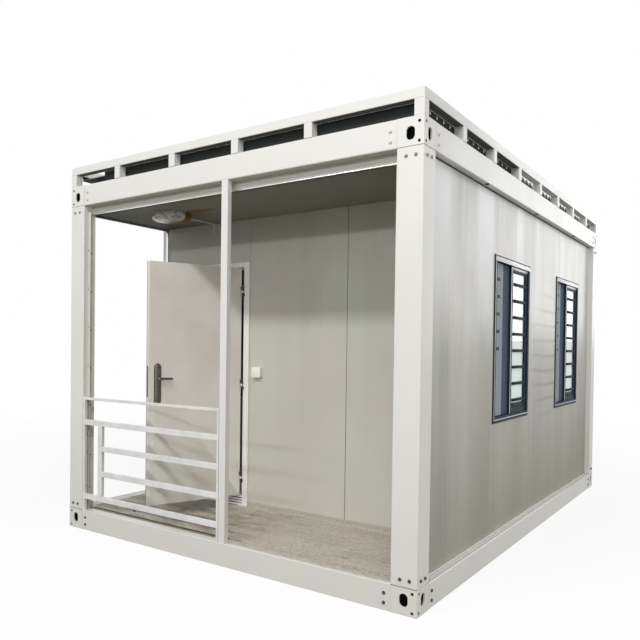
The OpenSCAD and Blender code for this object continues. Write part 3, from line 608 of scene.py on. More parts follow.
def boss(mesh, centre, axis, radius, length, sides=24, top=0.85):
    """A round or many sided boss whose middle is at centre, standing along an axis."""
    turned = Matrix.Translation(at(*centre)) @ AXES[axis]
    made = bmesh.ops.create_cone(mesh, cap_ends=True, segments=sides, radius1=radius * MM,
                                 radius2=radius * MM, depth=length * MM, matrix=turned)
    rims = [e for e in {e for v in made["verts"] for e in v.link_edges}
            if sum(len(f.verts) > 4 for f in e.link_faces) == 1 or sides <= 6]
    bmesh.ops.bevel(mesh, geom=rims, offset=radius * (1 - top) * MM, segments=2,
                    profile=0.5, affect="EDGES", material=-1)


def spun(mesh, centre, profile, axis="z", sides=64):
    """Turns a profile of (radius, height) pairs once round an axis through centre."""
    place = Matrix.Translation(at(*centre)) @ AXES[axis]
    line = [mesh.verts.new(place @ Vector((r * MM, 0, h * MM))) for r, h in profile]
    edges = [mesh.edges.new(pair) for pair in zip(line, line[1:])]
    bmesh.ops.spin(mesh, geom=line + edges, cent=at(*centre), steps=sides,
                   axis=place.to_3x3() @ Vector((0, 0, 1)), angle=math.tau, use_merge=True)


print("turned towards", ", ".join(AXES))

# %% [markdown]
# One function turns a finished mesh into an object, which rides with the house, the door
# or the lever. Many pieces are only bars, so another one makes such a piece from a list of
# boxes. The house is the same left and right, and front and back, so a box is written once
# and mirrored.

# %% From mesh to piece


def finish_piece(mesh, name, finish, body="house", merge=False):
    """An object at the origin, smooth except at its real edges, with a paint slot."""
    if merge:
        bmesh.ops.remove_doubles(mesh, verts=mesh.verts, dist=0.00002)
    bmesh.ops.recalc_face_normals(mesh, faces=mesh.faces)
    if body != "house":
        bmesh.ops.transform(mesh, matrix=OPENED, verts=mesh.verts)
    data = bpy.data.meshes.new(name)
    mesh.to_mesh(data)
    mesh.free()
    data.shade_smooth()
    data.set_sharp_from_angle(angle=math.radians(34))
    data.materials.append(finish)
    piece = bpy.data.objects.new(name, data)
    bpy.context.scene.collection.objects.link(piece)
    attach(piece, body)
    print(name, "faces", len(data.polygons))
    return piece


def bars_piece(name, finish, boxes, edge=1.0, body="house"):
    """A piece made of bars. A box is two corners, and may end with an edge of its own."""
    mesh = bmesh.new()
    for low, high, *own_edge in boxes:
        bar(mesh, low, high, *(own_edge or (edge,)))
    return finish_piece(mesh, name, finish, body)


def mirrored(side_x, side_y, low, high):
    """The same two corners at another corner of the house."""
    xs = sorted(HOUSE_WIDTH - v if side_x else v for v in (low[0], high[0]))
    ys = sorted(HOUSE_LENGTH - v if side_y else v for v in (low[1], high[1]))
    return (xs[0], ys[0], low[2]), (xs[1], ys[1], high[2])


def left_and_right(*boxes):
    return [mirrored(side, 0, *box) for side in (0, 1) for box in boxes]


def front_and_back(*boxes):
    return [mirrored(0, side, *box) for side in (0, 1) for box in boxes]


CORNERS = [(x, y) for x in (0, 1) for y in (0, 1)]
print("corners of the house", CORNERS)

# %% [markdown]
# ## Frame details
# The corner blocks are bolted between the beams and the columns. Where they meet, a thin
# bead of sealant fills the joint: a dark 3 mm line under and over the columns, and a pale
# 2 mm line beside the beams. The short roof posts stand in dark beads too, which are
# painted shade at their feet.

# %% Sealed joints at the corners
dark, pale = [], []
for corner in CORNERS:
    dark += [mirrored(*corner, *box) for box in (
        ((2, -0.5, FLOOR - 2), (COLUMN, 1, FLOOR + 1)),
        ((2, -0.5, BEAM_UNDERSIDE - 1.5), (COLUMN, 1, BEAM_UNDERSIDE + 1.5)),
        ((-0.5, 2, BEAM_UNDERSIDE - 1.5), (1, COLUMN, BEAM_UNDERSIDE + 1.5)))]
    pale += [mirrored(*corner, *box) for box in (
        ((COLUMN - 1, -0.5, 2), (COLUMN + 1, 1, FLOOR)),
        ((COLUMN - 1, -0.5, BEAM_UNDERSIDE), (COLUMN + 1, 1, BEAM_TOP)),
        ((-0.5, COLUMN - 1, BEAM_UNDERSIDE), (1, COLUMN + 1, BEAM_TOP)))]
# Dark beads at the feet of the roof posts: painted shade.
for k in range(4):
    post = 518 + 577 * k
    dark += front_and_back(((post - 1, -0.6, BEAM_TOP - 1), (post + 59, 61, BEAM_TOP + 2)))
for k in range(7):
    post = 579 + 571 * k
    dark += left_and_right(((-0.6, post - 1, BEAM_TOP - 1), (61, post + 59, BEAM_TOP + 2)))
bars_piece("joint_beads_and_post_shade", grey_sealant_and_shade, dark, 0.5)
bars_piece("beam_joint_beads", pale_sealant, pale, 0.5)

# %% [markdown]
# A corner block is a hollow box with lifting slots. Inside stand two near black plates,
# painted shade for its dark inside, so daylight never shows straight through a slot.

# %% Painted shade plates inside the corner blocks
BLOCK_FEET = (0, BEAM_UNDERSIDE)
# Near black plates: painted shade inside the blocks.
bars_piece("corner_block_shade_plates", near_black_shade,
           [mirrored(*corner, (x, y, foot + 14), (end_x, end_y, foot + 141))
            for corner in CORNERS for foot in BLOCK_FEET
            for x, y, end_x, end_y in ((14, 27, 146, 31), (27, 31, 31, 146))])

# %% [markdown]
# Beside each slot are two small joining holes, where twelve millimetre bolts pull two houses
# together. A near black ring round each and a disc just inside it are painted shade.

# %% Joining holes with painted shade
# Near black rings and discs at the joining holes: painted shade.
rims = bmesh.new()
for side_x, side_y in CORNERS:
    across, along = HOUSE_WIDTH * side_x, HOUSE_LENGTH * side_y
    in_x, in_y = 1 - 2 * side_x, 1 - 2 * side_y
    for z in (foot + up for foot in BLOCK_FEET for up in (22, 129)):
        for spot, axis, inward in (((across + 28 * in_x, along, z), "y", (0, 4 * in_y, 0)),
                                   ((across, along + 28 * in_y, z), "x", (4 * in_x, 0, 0))):
            spun(rims, spot, ((5.9, -0.5), (8.6, -0.5), (8.6, 0.5), (5.9, 0.5),
                              (5.9, -0.5)), axis, 20)
            boss(rims, Vector(spot) + Vector(inward), axis, 6.2, 1, 20)
finish_piece(rims, "joining_hole_shade", near_black_shade, merge=True)

# %% [markdown]
# The frame bolts are M10 hexagon heads, 17 mm across flats. Two hold each beam to its
# block and two hold each face of a column, top and bottom. The beam bolts above were
# sprayed with the frame, the column bolts above are a darker grey, painted shade round
# their heads, and all the bottom ones have gone dark.

# %% Frame bolts


def bolt(mesh, centre, axis, outward):
    """A hexagon head on a thin washer. centre lies on the face, outward is +1 or -1."""
    step = {"x": Vector((outward, 0, 0)), "y": Vector((0, outward, 0))}[axis]
    boss(mesh, Vector(centre) + step * 0.6, axis, 10.5, 1.6, 20, top=0.95)
    boss(mesh, Vector(centre) + step * 4, axis, 9, 6.5, 6)


# The column bolts above are a darker grey: painted shade round their heads.
painted_bolts, dark_bolts, shaded_bolt_heads = bmesh.new(), bmesh.new(), bmesh.new()
BOLT_ROWS = ((2683, 200, painted_bolts), (2624, 200, painted_bolts), (100, 200, dark_bolts),
             (44, 200, dark_bolts), (2533, 46, shaded_bolt_heads), (2533, 104, shaded_bolt_heads),
             (196, 46, dark_bolts), (196, 104, dark_bolts))
for side_x, side_y in CORNERS:
    across, along = HOUSE_WIDTH * side_x, HOUSE_LENGTH * side_y
    for z, inset, bolts in BOLT_ROWS:
        bolt(bolts, (abs(across - inset), along, z), "y", 2 * side_y - 1)
        bolt(bolts, (across, abs(along - inset), z), "x", 2 * side_x - 1)
finish_piece(painted_bolts, "painted_frame_bolts", channel_coat)
finish_piece(shaded_bolt_heads, "shaded_column_bolts", bolt_shade_grey)
finish_piece(dark_bolts, "grimed_frame_bolts", dirty_plating)

# %% [markdown]
# Rubber plugs close the drain holes under the long top beams, three to a side.

# %% Drain plugs
plugs = bmesh.new()
for across in (16, HOUSE_WIDTH - 16):
    for along in (1066, 2274, 3560):
        boss(plugs, (across, along, BEAM_UNDERSIDE - 2), "z", 15, 7, 24, top=0.8)
finish_piece(plugs, "beam_drain_plugs", rubber)

# %% [markdown]
# ## Walls
# Between two panels the steel skins stop short of each other, and a dark compressed foam
# fills the joint. From a long way along the wall the gap is hardly seen from the front, so
# the foam stands in a 10 mm line that reads as one thin dark joint, and beside it the next
# panel's edge is folded up by a millimetre and catches the light. The left wall starts
# behind the porch, and the joints above and below a window stop at its frame.

# %% Foam in the panel joints
WALLS = ((0, 985), (1, COLUMN))  # side of the house, and where its wall starts
foam, lines, folds = [], [], []
for across in (626, 1515, 2404):
    foam.append(((across - 2, 4479, FLOOR), (across + 2, 4525, BEAM_UNDERSIDE)))
    lines.append(((across - 3.5, 4524, FLOOR), (across + 3.5, 4526.3, BEAM_UNDERSIDE)))
foam.append(((2028, 935.4, FLOOR), (2032, 983, CEILING)))
lines.append(((2027, 934.7, FLOOR + 24), (2033, 936, CEILING)))
for along in (500, 1389, 2278, 3167, 4056):
    runs = [(FLOOR, BEAM_UNDERSIDE)]
    if along in (1389, 3167):
        runs = [(FLOOR, 949), (2151, BEAM_UNDERSIDE)]
    for side, start in WALLS:
        for foot, head in runs if along > start else ():
            foam += [mirrored(side, 0, (49, along - 2, foot), (95, along + 2, head)),
                     mirrored(side, 0, (47.4, along - 10, foot), (50, along, head))]
            folds.append(mirrored(side, 0, (46.4, along, foot), (50, along + 12, head)))
bars_piece("panel_joint_lines", grey_sealant_and_shade, lines, 0)
bars_piece("panel_joint_foam", dark_filler_and_shade, foam, 0)
bars_piece("panel_edge_folds", outer_facing, folds, 0)

# %% [markdown]
# At the foot of each outer wall a folded trim covers the joint with the beam, and dust
# lies on it and on the top of the beam. Bright strips on its upper edge and on the beam's
# are painted highlights. At the head a dark strip under the top beam is painted shade.

# %% Trims along the outer walls


def along_walls(first, last, back_low, back_high):
    """The same bar along the left, the right and the back wall."""
    return [mirrored(side, 0, (first[0], start, first[1]), (last[0], INNER_BACK, last[1]))
            for side, start in WALLS] + [((COLUMN, *back_low), (INNER_RIGHT, *back_high))]


bars_piece("wall_foot_trim", dusty,
           along_walls((39, FLOOR), (48, FLOOR + 13), (4526, FLOOR), (4534, FLOOR + 13)), 1.5)
# Painted highlights along the trim and beam edges.
bars_piece("foot_and_beam_highlights", bright_metal_highlight,
           along_walls((37.5, FLOOR + 9), (47, FLOOR + 15), (4527, FLOOR + 9),
                       (4536, FLOOR + 15))
           + left_and_right(((-1, 162, 149.5), (5, 4412, 156.2))), 1.5)
# Painted highlights along the end beam edges.
bars_piece("end_beam_highlights", white_trim_and_highlight,
           front_and_back(((162, -1, 149.5), (2868, 5, 156.2))), 1.5)
bars_piece("beam_top_dust", dusty,
           along_walls((5, FLOOR - 1), (38.5, FLOOR + 0.7), (4535, FLOOR - 1),
                       (4569, FLOOR + 0.7)), 0)
# Painted shade under the top beam.
bars_piece("wall_head_shade", dark_filler_and_shade,
           along_walls((46, 2572), (48.5, BEAM_UNDERSIDE), (4525.5, 2572),
                       (4527.5, BEAM_UNDERSIDE)), 0)

# %% [markdown]
# Along the porch wall a low track holds the panels, and dirt has gathered in it. A pale
# bead of sealant closes it against the floor. The free end of the wall is capped: a bright
# strip stands a little proud of the grey cap, with a dark line beside it. The strip's shine
# is a painted highlight, the cap is painted lighter as painted light, and the dark line is
# painted shade.

# %% Foot and free end of the porch wall
bars_piece("porch_wall_track_face", grimy_track,
           [((1111, 926, FLOOR + 20), (2933, 935.5, FLOOR + 42))])
bars_piece("porch_wall_foot_seal", pale_sealant,
           [((1420, 921, FLOOR), (2933, 927.5, FLOOR + 5.5))], 2)
# Painted highlight on the end post strip.
bars_piece("end_post_highlight_strip", bright_metal_highlight,
           [((139, 928.5, FLOOR), (COLUMN, 934, CEILING))])
# Painted shade beside the strip and over the door.
bars_piece("end_post_shade_line", dark_filler_and_shade,
           [((COLUMN, 931.5, FLOOR), (165, 934, CEILING)),
            ((172, 933, 2176), (177, 936, CEILING))], 0)

# %% [markdown]
# ## Porch
# A channel runs round the porch under the beams. Its front edge is folded back into a
# bright lip, with a bright metal strip along its lower edge, a painted highlight. Along the
# open left side the ceiling sheet stops short; a dark band there, and dark teeth at the ends
# of its ribs, are painted shade. Under the front beam a bead of sealant closes the channel.

# %% Header lip and ceiling edge
bars_piece("header_lip", white_trim_and_highlight,
           [((COLUMN, 76, 2519), (INNER_RIGHT, 84, 2536), 1.5),
            ((94, COLUMN, 2522), (98, 934, 2536), 1)])
# Painted highlight along the lip's lower edge.
bars_piece("header_lip_highlight", bright_metal_highlight,
           [((COLUMN, 75.4, 2518.4), (INNER_RIGHT, 84, 2525))], 1.2)
# Painted shade: a dark band and dark teeth at the ends of the ceiling ribs.
rib_end_shadows = [((136, 168 + 33 * k, 2521.5), (168 if k % 2 else 156, 184 + 33 * k, 2526))
            for k in range(23)]
bars_piece("ceiling_edge_shade", dark_filler_and_shade,
           [((98, COLUMN + 2, 2519), (138, 933, 2526))] + rib_end_shadows, 0)
bars_piece("front_beam_underside", pale_sealant,
           [((COLUMN, 2, 2581), (INNER_RIGHT, 79, 2583.5))], 0)

# %% [markdown]
# Small plated screws fix the channel to the columns, one about every 300 mm, on the face
# beside the opening and on the one that looks to the front.

# %% Channel screws
screws = bmesh.new()
for z in (323, 590, 735, 993, 1290, 1594, 1900, 2210):
    for face, front in ((163, 164), (HOUSE_WIDTH - 163, HOUSE_WIDTH - 164)):
        boss(screws, (face, 70, z), "x", 5.5, 3.5, 12)
        boss(screws, (front, 44.8, z + 20), "y", 4, 2.6, 12)
finish_piece(screws, "channel_screws", dirty_plating)

# %% [markdown]
# The printed floor sheet runs out over the front beam in the right bay and is trimmed
# beside the post. In the left bay it stops at the beam; the gap shows as a dark strip of
# mud and painted shade, and the edge is dirty.

# %% Floor sheet over the beam
bars_piece("floor_sheet_front", flooring,
           [((1652, 26, FLOOR - 0.5), (INNER_RIGHT, 123, FLOOR + 1.6))], 0.6)
# A dark strip in the gap: mud and painted shade.
bars_piece("floor_gap_shade", mud_and_shade,
           [((162, 104, 150), (1592, 124, FLOOR + 1.4)),
            ((1654, 116, 150), (1700, 124, FLOOR + 2))], 0)
bars_piece("floor_edge_flange", grimy_track,
           [((162, 74, FLOOR - 1), (1592, 104, FLOOR + 0.8))], 0.4)

# %% [markdown]
# ## Railing
# The railing is welded from rectangular tube. Each bar meets its upright in a small weld,
# the lowest bar is joined in the middle, and thin dark lines show where the frame stands
# against the column and the post.

# %% Railing joints
bars_piece("railing_joint_lines", grey_sealant_and_shade,
           [((159, -0.4, FLOOR), (160.8, 1, 1058)), ((1592.6, -0.4, FLOOR), (1594.4, 1, 1058)),
            ((754, -0.4, 229), (756, 25.4, 269))], 0)
bars_piece("railing_welds", enamel,
           [((end - 1.5, 1, z - 1.5), (end + 1.5, 24, z + 1.5))
            for middle in (249, 446, 643, 840) for end in (184, 1574)
            for z in (middle - 20, middle + 20)], 1.4)

# %% [markdown]
# ## Lamp
# The ceiling lamp is one shallow bowl of swirled opal acrylic, spun from a profile. Its far
# right part is brown, painted shade for the rim's inner edge: a thin brass shell, spun in
# the same way a millimetre larger and cut off straight, and closed with a face across the cut.

# %% Ceiling lamp
lamp_low, lamp_high = measure("ceiling_lamp")
LAMP = ((lamp_low.x + lamp_high.x) / 2, (lamp_low.y + lamp_high.y) / 2)
bowl = bmesh.new()
spun(bowl, (*LAMP, 0), ((0, 2464), (40, 2464.2), (80, 2465), (112, 2467), (134, 2471),
                        (147, 2478), (153, 2487), (156, 2499), (156, 2524), (0, 2524)))
opal_bowl = finish_piece(bowl, "lamp_shade_opal", opal, merge=True)
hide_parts("ceiling_lamp")
# The brown shell is painted shade for the rim's inner edge.
crescent = bmesh.new()
spun(crescent, (*LAMP, 0), ((0, 2462.8), (80, 2463.8), (113, 2465.8), (135.5, 2470),
                            (148.2, 2477.4), (154.2, 2486.6), (157.3, 2499), (157.3, 2523),
                            (0, 2523)))
bmesh.ops.remove_doubles(crescent, verts=crescent.verts, dist=0.00002)
CUT_TURN, CUT_FROM_MIDDLE = math.radians(79), 25
away = Vector((math.cos(CUT_TURN), math.sin(CUT_TURN), 0))
cut = bmesh.ops.bisect_plane(crescent, geom=[*crescent.verts, *crescent.edges,
                                             *crescent.faces],
                             plane_co=at(*LAMP, 0) + away * CUT_FROM_MIDDLE * MM,
                             plane_no=away, clear_inner=True)
rim = [e for e in cut["geom_cut"] if isinstance(e, bmesh.types.BMEdge)]
bmesh.ops.contextual_create(crescent, geom=rim)
finish_piece(crescent, "lamp_rim_shade", brass_and_rim_shade, merge=True)

# %% [markdown]
# ## Light switch
# A surface box of moulded plastic with a separate face plate and one wide rocker, which
# leans because the light is off: its lower front corners are moved back.

# %% Light switch
low, high = measure("light_switch")
mid = (low + high) / 2
switch_box = bars_piece("light_switch_box", moulded, [
    ((low.x + 2, low.y + 8, low.z + 2), (high.x - 2, high.y, high.z - 2), 2),
    ((low.x, low.y + 1.5, low.z), (high.x, low.y + 8.5, high.z), 1.5)])
rocker = bmesh.new()
bar(rocker, (mid.x - 21, low.y - 1.2, mid.z - 31), (mid.x + 21, low.y + 4, mid.z + 31), 2)
lower = [v for v in rocker.verts if v.co.z < mid.z * MM and v.co.y < at(0, low.y + 1, 0).y]
bmesh.ops.translate(rocker, vec=(0, 2.2 * MM, 0), verts=lower)
finish_piece(rocker, "light_switch_rocker", moulded)
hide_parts("light_switch")

# %% [markdown]
# ## Door furniture
# The handle plates are die cast with rounded ends and a soft edge. Each is a circle pulled
# apart into a long round-ended outline, extruded and bevelled on its face. A dark base
# plate is a little larger than the bright front plate, which gives it a dark outline.

# %% Handle plates
LOCK_EDGE, LEAF_FRONT, LEAF_BACK = 239, 920, 965
LEAF_FACES = ((LEAF_FRONT, -1), (LEAF_BACK, 1))
PLATE_MIDDLE, PLATE_THICK = 1182, 8
SPINDLE_X, SPINDLE_Z = LOCK_EDGE + 72, 1221
KEYHOLE_Z = SPINDLE_Z - 85


def handle_plate(mesh, face_y, out, radius, thick, soft):
    ring = bmesh.ops.create_circle(
        mesh, cap_ends=True, segments=40, radius=radius * MM,
        matrix=Matrix.Translation(at(SPINDLE_X, face_y, PLATE_MIDDLE)) @ AXES["y"])["verts"]
    for shift in (127, -127):
        half = [v for v in ring if (v.co.z - PLATE_MIDDLE * MM) * shift > 1e-7]
        bmesh.ops.translate(mesh, vec=(0, 0, shift * MM), verts=half)
    face = [f for f in mesh.faces if all(v in ring for v in f.verts)]
    front = bmesh.ops.extrude_face_region(mesh, geom=face)["geom"]
    moved = [v for v in front if isinstance(v, bmesh.types.BMVert)]
    bmesh.ops.translate(mesh, vec=(0, out * thick * MM, 0), verts=moved)
    rim = [e for e in mesh.edges if all(v in moved for v in e.verts)]
    bmesh.ops.bevel(mesh, geom=rim, offset=soft * MM, segments=3, profile=0.5,
                    affect="EDGES", material=-1)


plates, bases, holes = bmesh.new(), bmesh.new(), bmesh.new()
for face_y, out in LEAF_FACES:
    handle_plate(plates, face_y, out, 25, PLATE_THICK, 4.5)
    handle_plate(bases, face_y, out, 29.5, 3, 1)
    skin = face_y + out * PLATE_THICK
    boss(plates, (SPINDLE_X, skin + out * 2.5, SPINDLE_Z), "y", 14, 6, 32, top=0.8)
    boss(plates, (SPINDLE_X, skin + out * 1.5, KEYHOLE_Z), "y", 11, 4, 32, top=0.8)
    # The keyhole is a black disc and slot on the plate, painted shade for the hole.
    boss(holes, (SPINDLE_X, skin + out * 3.4, KEYHOLE_Z), "y", 4.2, 1.2, 20, top=0.9)
    bar(holes, (SPINDLE_X - 1.6, min(skin, skin + out * 4), KEYHOLE_Z - 15),
        (SPINDLE_X + 1.6, max(skin, skin + out * 4), KEYHOLE_Z), edge=0.4)
    for z in (1310, 1056):
        boss(holes, (SPINDLE_X, skin + out * 0.8, z), "y", 5, 2.2, 16, top=0.8)
handle = finish_piece(plates, "handle_plates", bronze, "door")
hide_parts("door_handle_plates")
finish_piece(bases, "handle_base_plates", rubber, "door")
finish_piece(holes, "keyhole_shade_and_screws", dark_filler_and_shade, "door")

# %% [markdown]
# The lever is one casting: a neck, a rounded elbow and a grip that gets slimmer and ends
# round. It turns about the spindle, so it rides on its own body.

# %% Levers
levers = bmesh.new()
for face_y, out in LEAF_FACES:
    skin = face_y + out * PLATE_THICK
    grip_y = skin + out * 35
    boss(levers, (SPINDLE_X, (skin + grip_y) / 2, SPINDLE_Z), "y", 9, 35, 28, top=0.95)
    for along, radius in ((0, 11), (103, 8.8)):
        bmesh.ops.create_uvsphere(
            levers, u_segments=24, v_segments=16, radius=radius * MM,
            matrix=Matrix.Translation(at(SPINDLE_X + along, grip_y, SPINDLE_Z)))
    for start, end, first, last in ((0, 70, 10.6, 9.8), (70, 103, 9.8, 8.8)):
        middle = at(SPINDLE_X + (start + end) / 2, grip_y, SPINDLE_Z)
        bmesh.ops.create_cone(
            levers, cap_ends=True, segments=24, radius1=first * MM, radius2=last * MM,
            depth=(end - start) * MM, matrix=Matrix.Translation(middle) @ AXES["x"])
boss(levers, (SPINDLE_X, (LEAF_FRONT + LEAF_BACK) / 2, SPINDLE_Z), "y", 7.6, 60, 24)
lever = finish_piece(levers, "door_levers", bronze, "lever")
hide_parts("door_lever")

# %% [markdown]
# The leaf's skins are folded over a thin edge profile. The lock edge has a dark steel face
# plate with the latch and the bolt, flush in it. A black seal runs round the back.

# %% Leaf edges and lock
LEAF_FOOT, LEAF_HEAD = 246, 2124
bars_piece("leaf_edge_profile", door_coat,
           [((238.6, 919.6, LEAF_FOOT), (243, 965.4, LEAF_HEAD)),
            ((1045, 919.6, LEAF_FOOT), (1049.4, 965.4, LEAF_HEAD)),
            ((243, 919.6, LEAF_FOOT), (1045, 965.4, LEAF_FOOT + 3)),
            ((243, 919.6, LEAF_HEAD - 3), (1045, 965.4, LEAF_HEAD + 0.4))], 0.8, "door")
bars_piece("lock_face_plate", dirty_plating,
           [((237.6, 932, 1080), (LOCK_EDGE, 954, 1320), 0.5),
            ((236.2, 937, 1212), (LOCK_EDGE, 949, 1232)),
            ((236.6, 937, 1126), (LOCK_EDGE, 949, 1148))], 0.8, "door")
bars_piece("leaf_seal", rubber,
           [((238.2, 961, LEAF_FOOT), (239.6, 966.5, LEAF_HEAD)),
            ((1044, 965, LEAF_FOOT), (1049, 967, LEAF_HEAD))], 0.4, "door")

# %% [markdown]
# Three slim lift-off hinges carry the leaf. The lower half of each is fixed to the frame
# and carries the pin, the upper half belongs to the leaf, and a white nylon bush shows
# between them. Short lugs reach back to the leaf and to the frame.

# %% Hinges
leaf_halves, frame_halves, bushes = bmesh.new(), bmesh.new(), bmesh.new()
for foot in (346, 1115, 1884):
    boss(leaf_halves, (PIN_X, PIN_Y, foot + 76.5), "z", 5.5, 47, 20, top=0.8)
    bar(leaf_halves, (1041, 910, foot + 66), (1051, 919.8, foot + 86), edge=0.8)
    boss(frame_halves, (PIN_X, PIN_Y, foot + 18), "z", 5.5, 36, 20, top=0.8)
    bar(frame_halves, (1054, 910, foot + 8), (1065, 920.2, foot + 28), edge=0.8)
    boss(bushes, (PIN_X, PIN_Y, foot + 44), "z", 6.6, 16, 20, top=0.85)
leaf_hinges = finish_piece(leaf_halves, "leaf_hinge_halves", dirty_plating,
                           "door")
frame_hinges = finish_piece(frame_halves, "frame_hinge_halves", dirty_plating)
finish_piece(bushes, "hinge_bushes", moulded)
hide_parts("door_hinge_leaves")
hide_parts("door_hinge_pins")

# %% [markdown]
# The frame has a black seal in its rebate, right behind the closed leaf but clear of it,
# and a strike plate that takes the latch. A shallow line is pressed round its face, a
# finger's width from the edge, and a grey line on the face is painted shade in it. The
# steel threshold is pressed with grooves, and dark lines in them are painted shade.

# %% Frame seal, strike, pressed line and threshold
bars_piece("frame_seal", rubber,
           [((241.5, 967.8, LEAF_FOOT), (247.5, 972, 2122)),
            ((1039.5, 967.8, LEAF_FOOT), (1045.5, 972, 2122)),
            ((247, 967.8, 2111), (1040, 972, 2117))])
bars_piece("strike_plate", plating,
           [((229.5, 930, 1080), (231.2, 956, 1320))], 0.4)
# A grey line on the frame face: painted shade in the pressed groove.
bars_piece("frame_groove_shade", grey_sealant_and_shade,
           [((1054, 919.5, 239), (1056.5, 921, 2132)),
            ((231, 919.5, 2129.5), (1056.5, 921, 2132))], 0)
# Dark lines in the threshold grooves: painted shade.
bars_piece("threshold_groove_shade", dark_filler_and_shade,
           [((900, 919.3, z - 3.2), (1057, 925, z + 3.2)) for z in (176, 197, 218)], 0)

# %% [markdown]
# ## Windows
# Each window has two sliding sashes on two tracks. The glass sits in black gaskets, eight
# black bars cross the outer sash as a guard, just outside its glass, and a pale blind hangs
# behind it. On the other half a woven insect screen and a navy strip stand side by side,
# outside the inner glass; the navy strip is painted shade, and five thin navy bars across
# the screen are a painted reflection of the guard bars. A dark seal runs round the frame.
# White strips on the head and on a few edges are painted highlights, where the frame catches
# the light, with a ragged dark line along the top of the head.
#
# Every measure is taken from the outside of the house inward, so one table serves both
# sides. A row gives the mesh, the depth in the wall, the place along the window, the
# height and how far the edges are softened.

# %% Window details
WINDOW_STARTS = (1347, 3070)
PANES = ((450, 769, 60.5), (81, 400, 86.5))  # start and end along the window, depth of face
PANE_FOOT, PANE_HEAD = 1036, 2062
SCREEN_FOOT, SCREEN_HEAD = 992, 2106
gaskets, guard, frame_seals, small_parts = (bmesh.new() for _ in range(4))
highlight_strips, screens, blinds, shade_strips, rails = (bmesh.new() for _ in range(5))
rows = [(gaskets, depth, along, heights, 0)
        for start, end, face in PANES for depth in ((face - 2, face), (face + 5, face + 7))
        for along, heights in (((start - 6, start + 1), (PANE_FOOT - 7, PANE_HEAD + 7)),
                               ((end - 1, end + 6), (PANE_FOOT - 7, PANE_HEAD + 7)),
                               ((start, end), (PANE_FOOT - 7, PANE_FOOT)),
                               ((start, end), (PANE_HEAD, PANE_HEAD + 7)))]
rows += [(guard, (51.5, 59.5), (484, 773), (1967 - 127 * k, 1989 - 127 * k), 1.2)
         for k in range(8)]
rows += [(frame_seals, (42.5, 48), along, heights, 1)
         for along, heights in (((-9, 0), (946, 2154)), ((850, 856), (948, 2152)),
                                ((0, 850), (946, 955)), ((0, 850), (2145, 2151)))]
# White strips on the frame's head and edges: painted highlights.
rows += [(highlight_strips, depth, along, heights, 0.3) for depth, along, heights in (
    ((38.2, 39.5), (2, 848), (2108, 2141)), ((38.2, 39.5), (6, 13), (968, 2106)),
    ((38.2, 39.5), (4, 846), (968, 974)), ((50, 51.5), (404, 416), (992, 2106)),
    ((50, 51.5), (416, 812), (2086, 2104)), ((47, 48.5), (36, 812), (984, 987)))]
rows += [(screens, (70.5, 71.5), (36, 266), (SCREEN_FOOT, SCREEN_HEAD), 0),
         # The navy strip is painted shade.
         (shade_strips, (70, 71.8), (264, 404), (SCREEN_FOOT, SCREEN_HEAD), 0),
         (blinds, (67.5, 68.2), (446, 773), (1031, 2067), 0),
         (rails, (57.5, 60), (446, 773), (1030, 1068), 0.8),
         (small_parts, (48.6, 51), (786, 800), (1440, 1560), 0.8)]
# Five navy bars across the screen: a painted reflection of the guard bars.
rows += [(rails, (69.4, 70.6), (84, 196), (1978 - 127 * k, 2002 - 127 * k), 0)
         for k in range(5)]
rows += [(small_parts, (38.4, 39.4), (start, start + 32), (958, 963), 0)
         for start in (190, 620)]
# A ragged dark line along the top of the head strip.
ragged = random.Random(7)
for side_x, first in ((side, start) for side in (0, 1) for start in WINDOW_STARTS):
    ragged_line = []
    for k in range(34):
        start = 6 + 25 * k + ragged.uniform(0, 6)
        high = ragged.uniform(3, 10)
        ragged_line.append((frame_seals, (37.9, 39), (start, start + ragged.uniform(8, 19)),
                     (2145 - high, 2147), 0))
    for mesh, (front, back), (start, end), (foot, head), edge in rows + ragged_line:
        bar(mesh, *mirrored(side_x, 0, (front, first + start, foot),
                            (back, first + end, head)), edge)
finish_piece(gaskets, "glass_gaskets", rubber)
finish_piece(guard, "window_guard_bars", bar_paint)
finish_piece(frame_seals, "window_frame_seals", rubber)
finish_piece(small_parts, "window_pulls_and_drains", rubber)
finish_piece(highlight_strips, "window_highlight_strips", white_highlight_paint)
finish_piece(screens, "insect_screens", screen_mesh)
finish_piece(blinds, "roller_blinds", pale_blind)
finish_piece(shade_strips, "window_shade_strips", navy_shade_paint)
finish_piece(rails, "sash_rails_and_bar_reflections", aluminium)

# %% [markdown]
# ## Roof
# The gap between the roof sheet and the front rail is closed with dark tarred board. In the
# first three bays of each long side a dark closure follows the ribs, and small white
# triangles under them are painted daylight, as if seen through the gaps under the ribs. The
# undersides of the front and back rails, and of the side rails in these bays, are painted
# dark grey: painted shade. The other bays are open, and daylight shows between the ribs.

# %% Roof closures
RIB_PITCH, FIRST_RIB, CLOSED_TO = 100, 112, 1722
bars_piece("roof_end_board", roof_board,
           front_and_back(((330, 61.5, 2744), (2968, 65, 2836))), 0.5)
# Painted shade under the rails.
bars_piece("roof_rail_shade", rail_shade,
           front_and_back(((62, 4, 2834.8), (2968, 58, 2836.4)))
           + left_and_right(((4, 62, 2834.8), (58, CLOSED_TO, 2836.4))), 0)
bars_piece("rib_closures", roof_board,
           left_and_right(((60.3, 64, 2797), (61.6, CLOSED_TO, 2836))), 0)
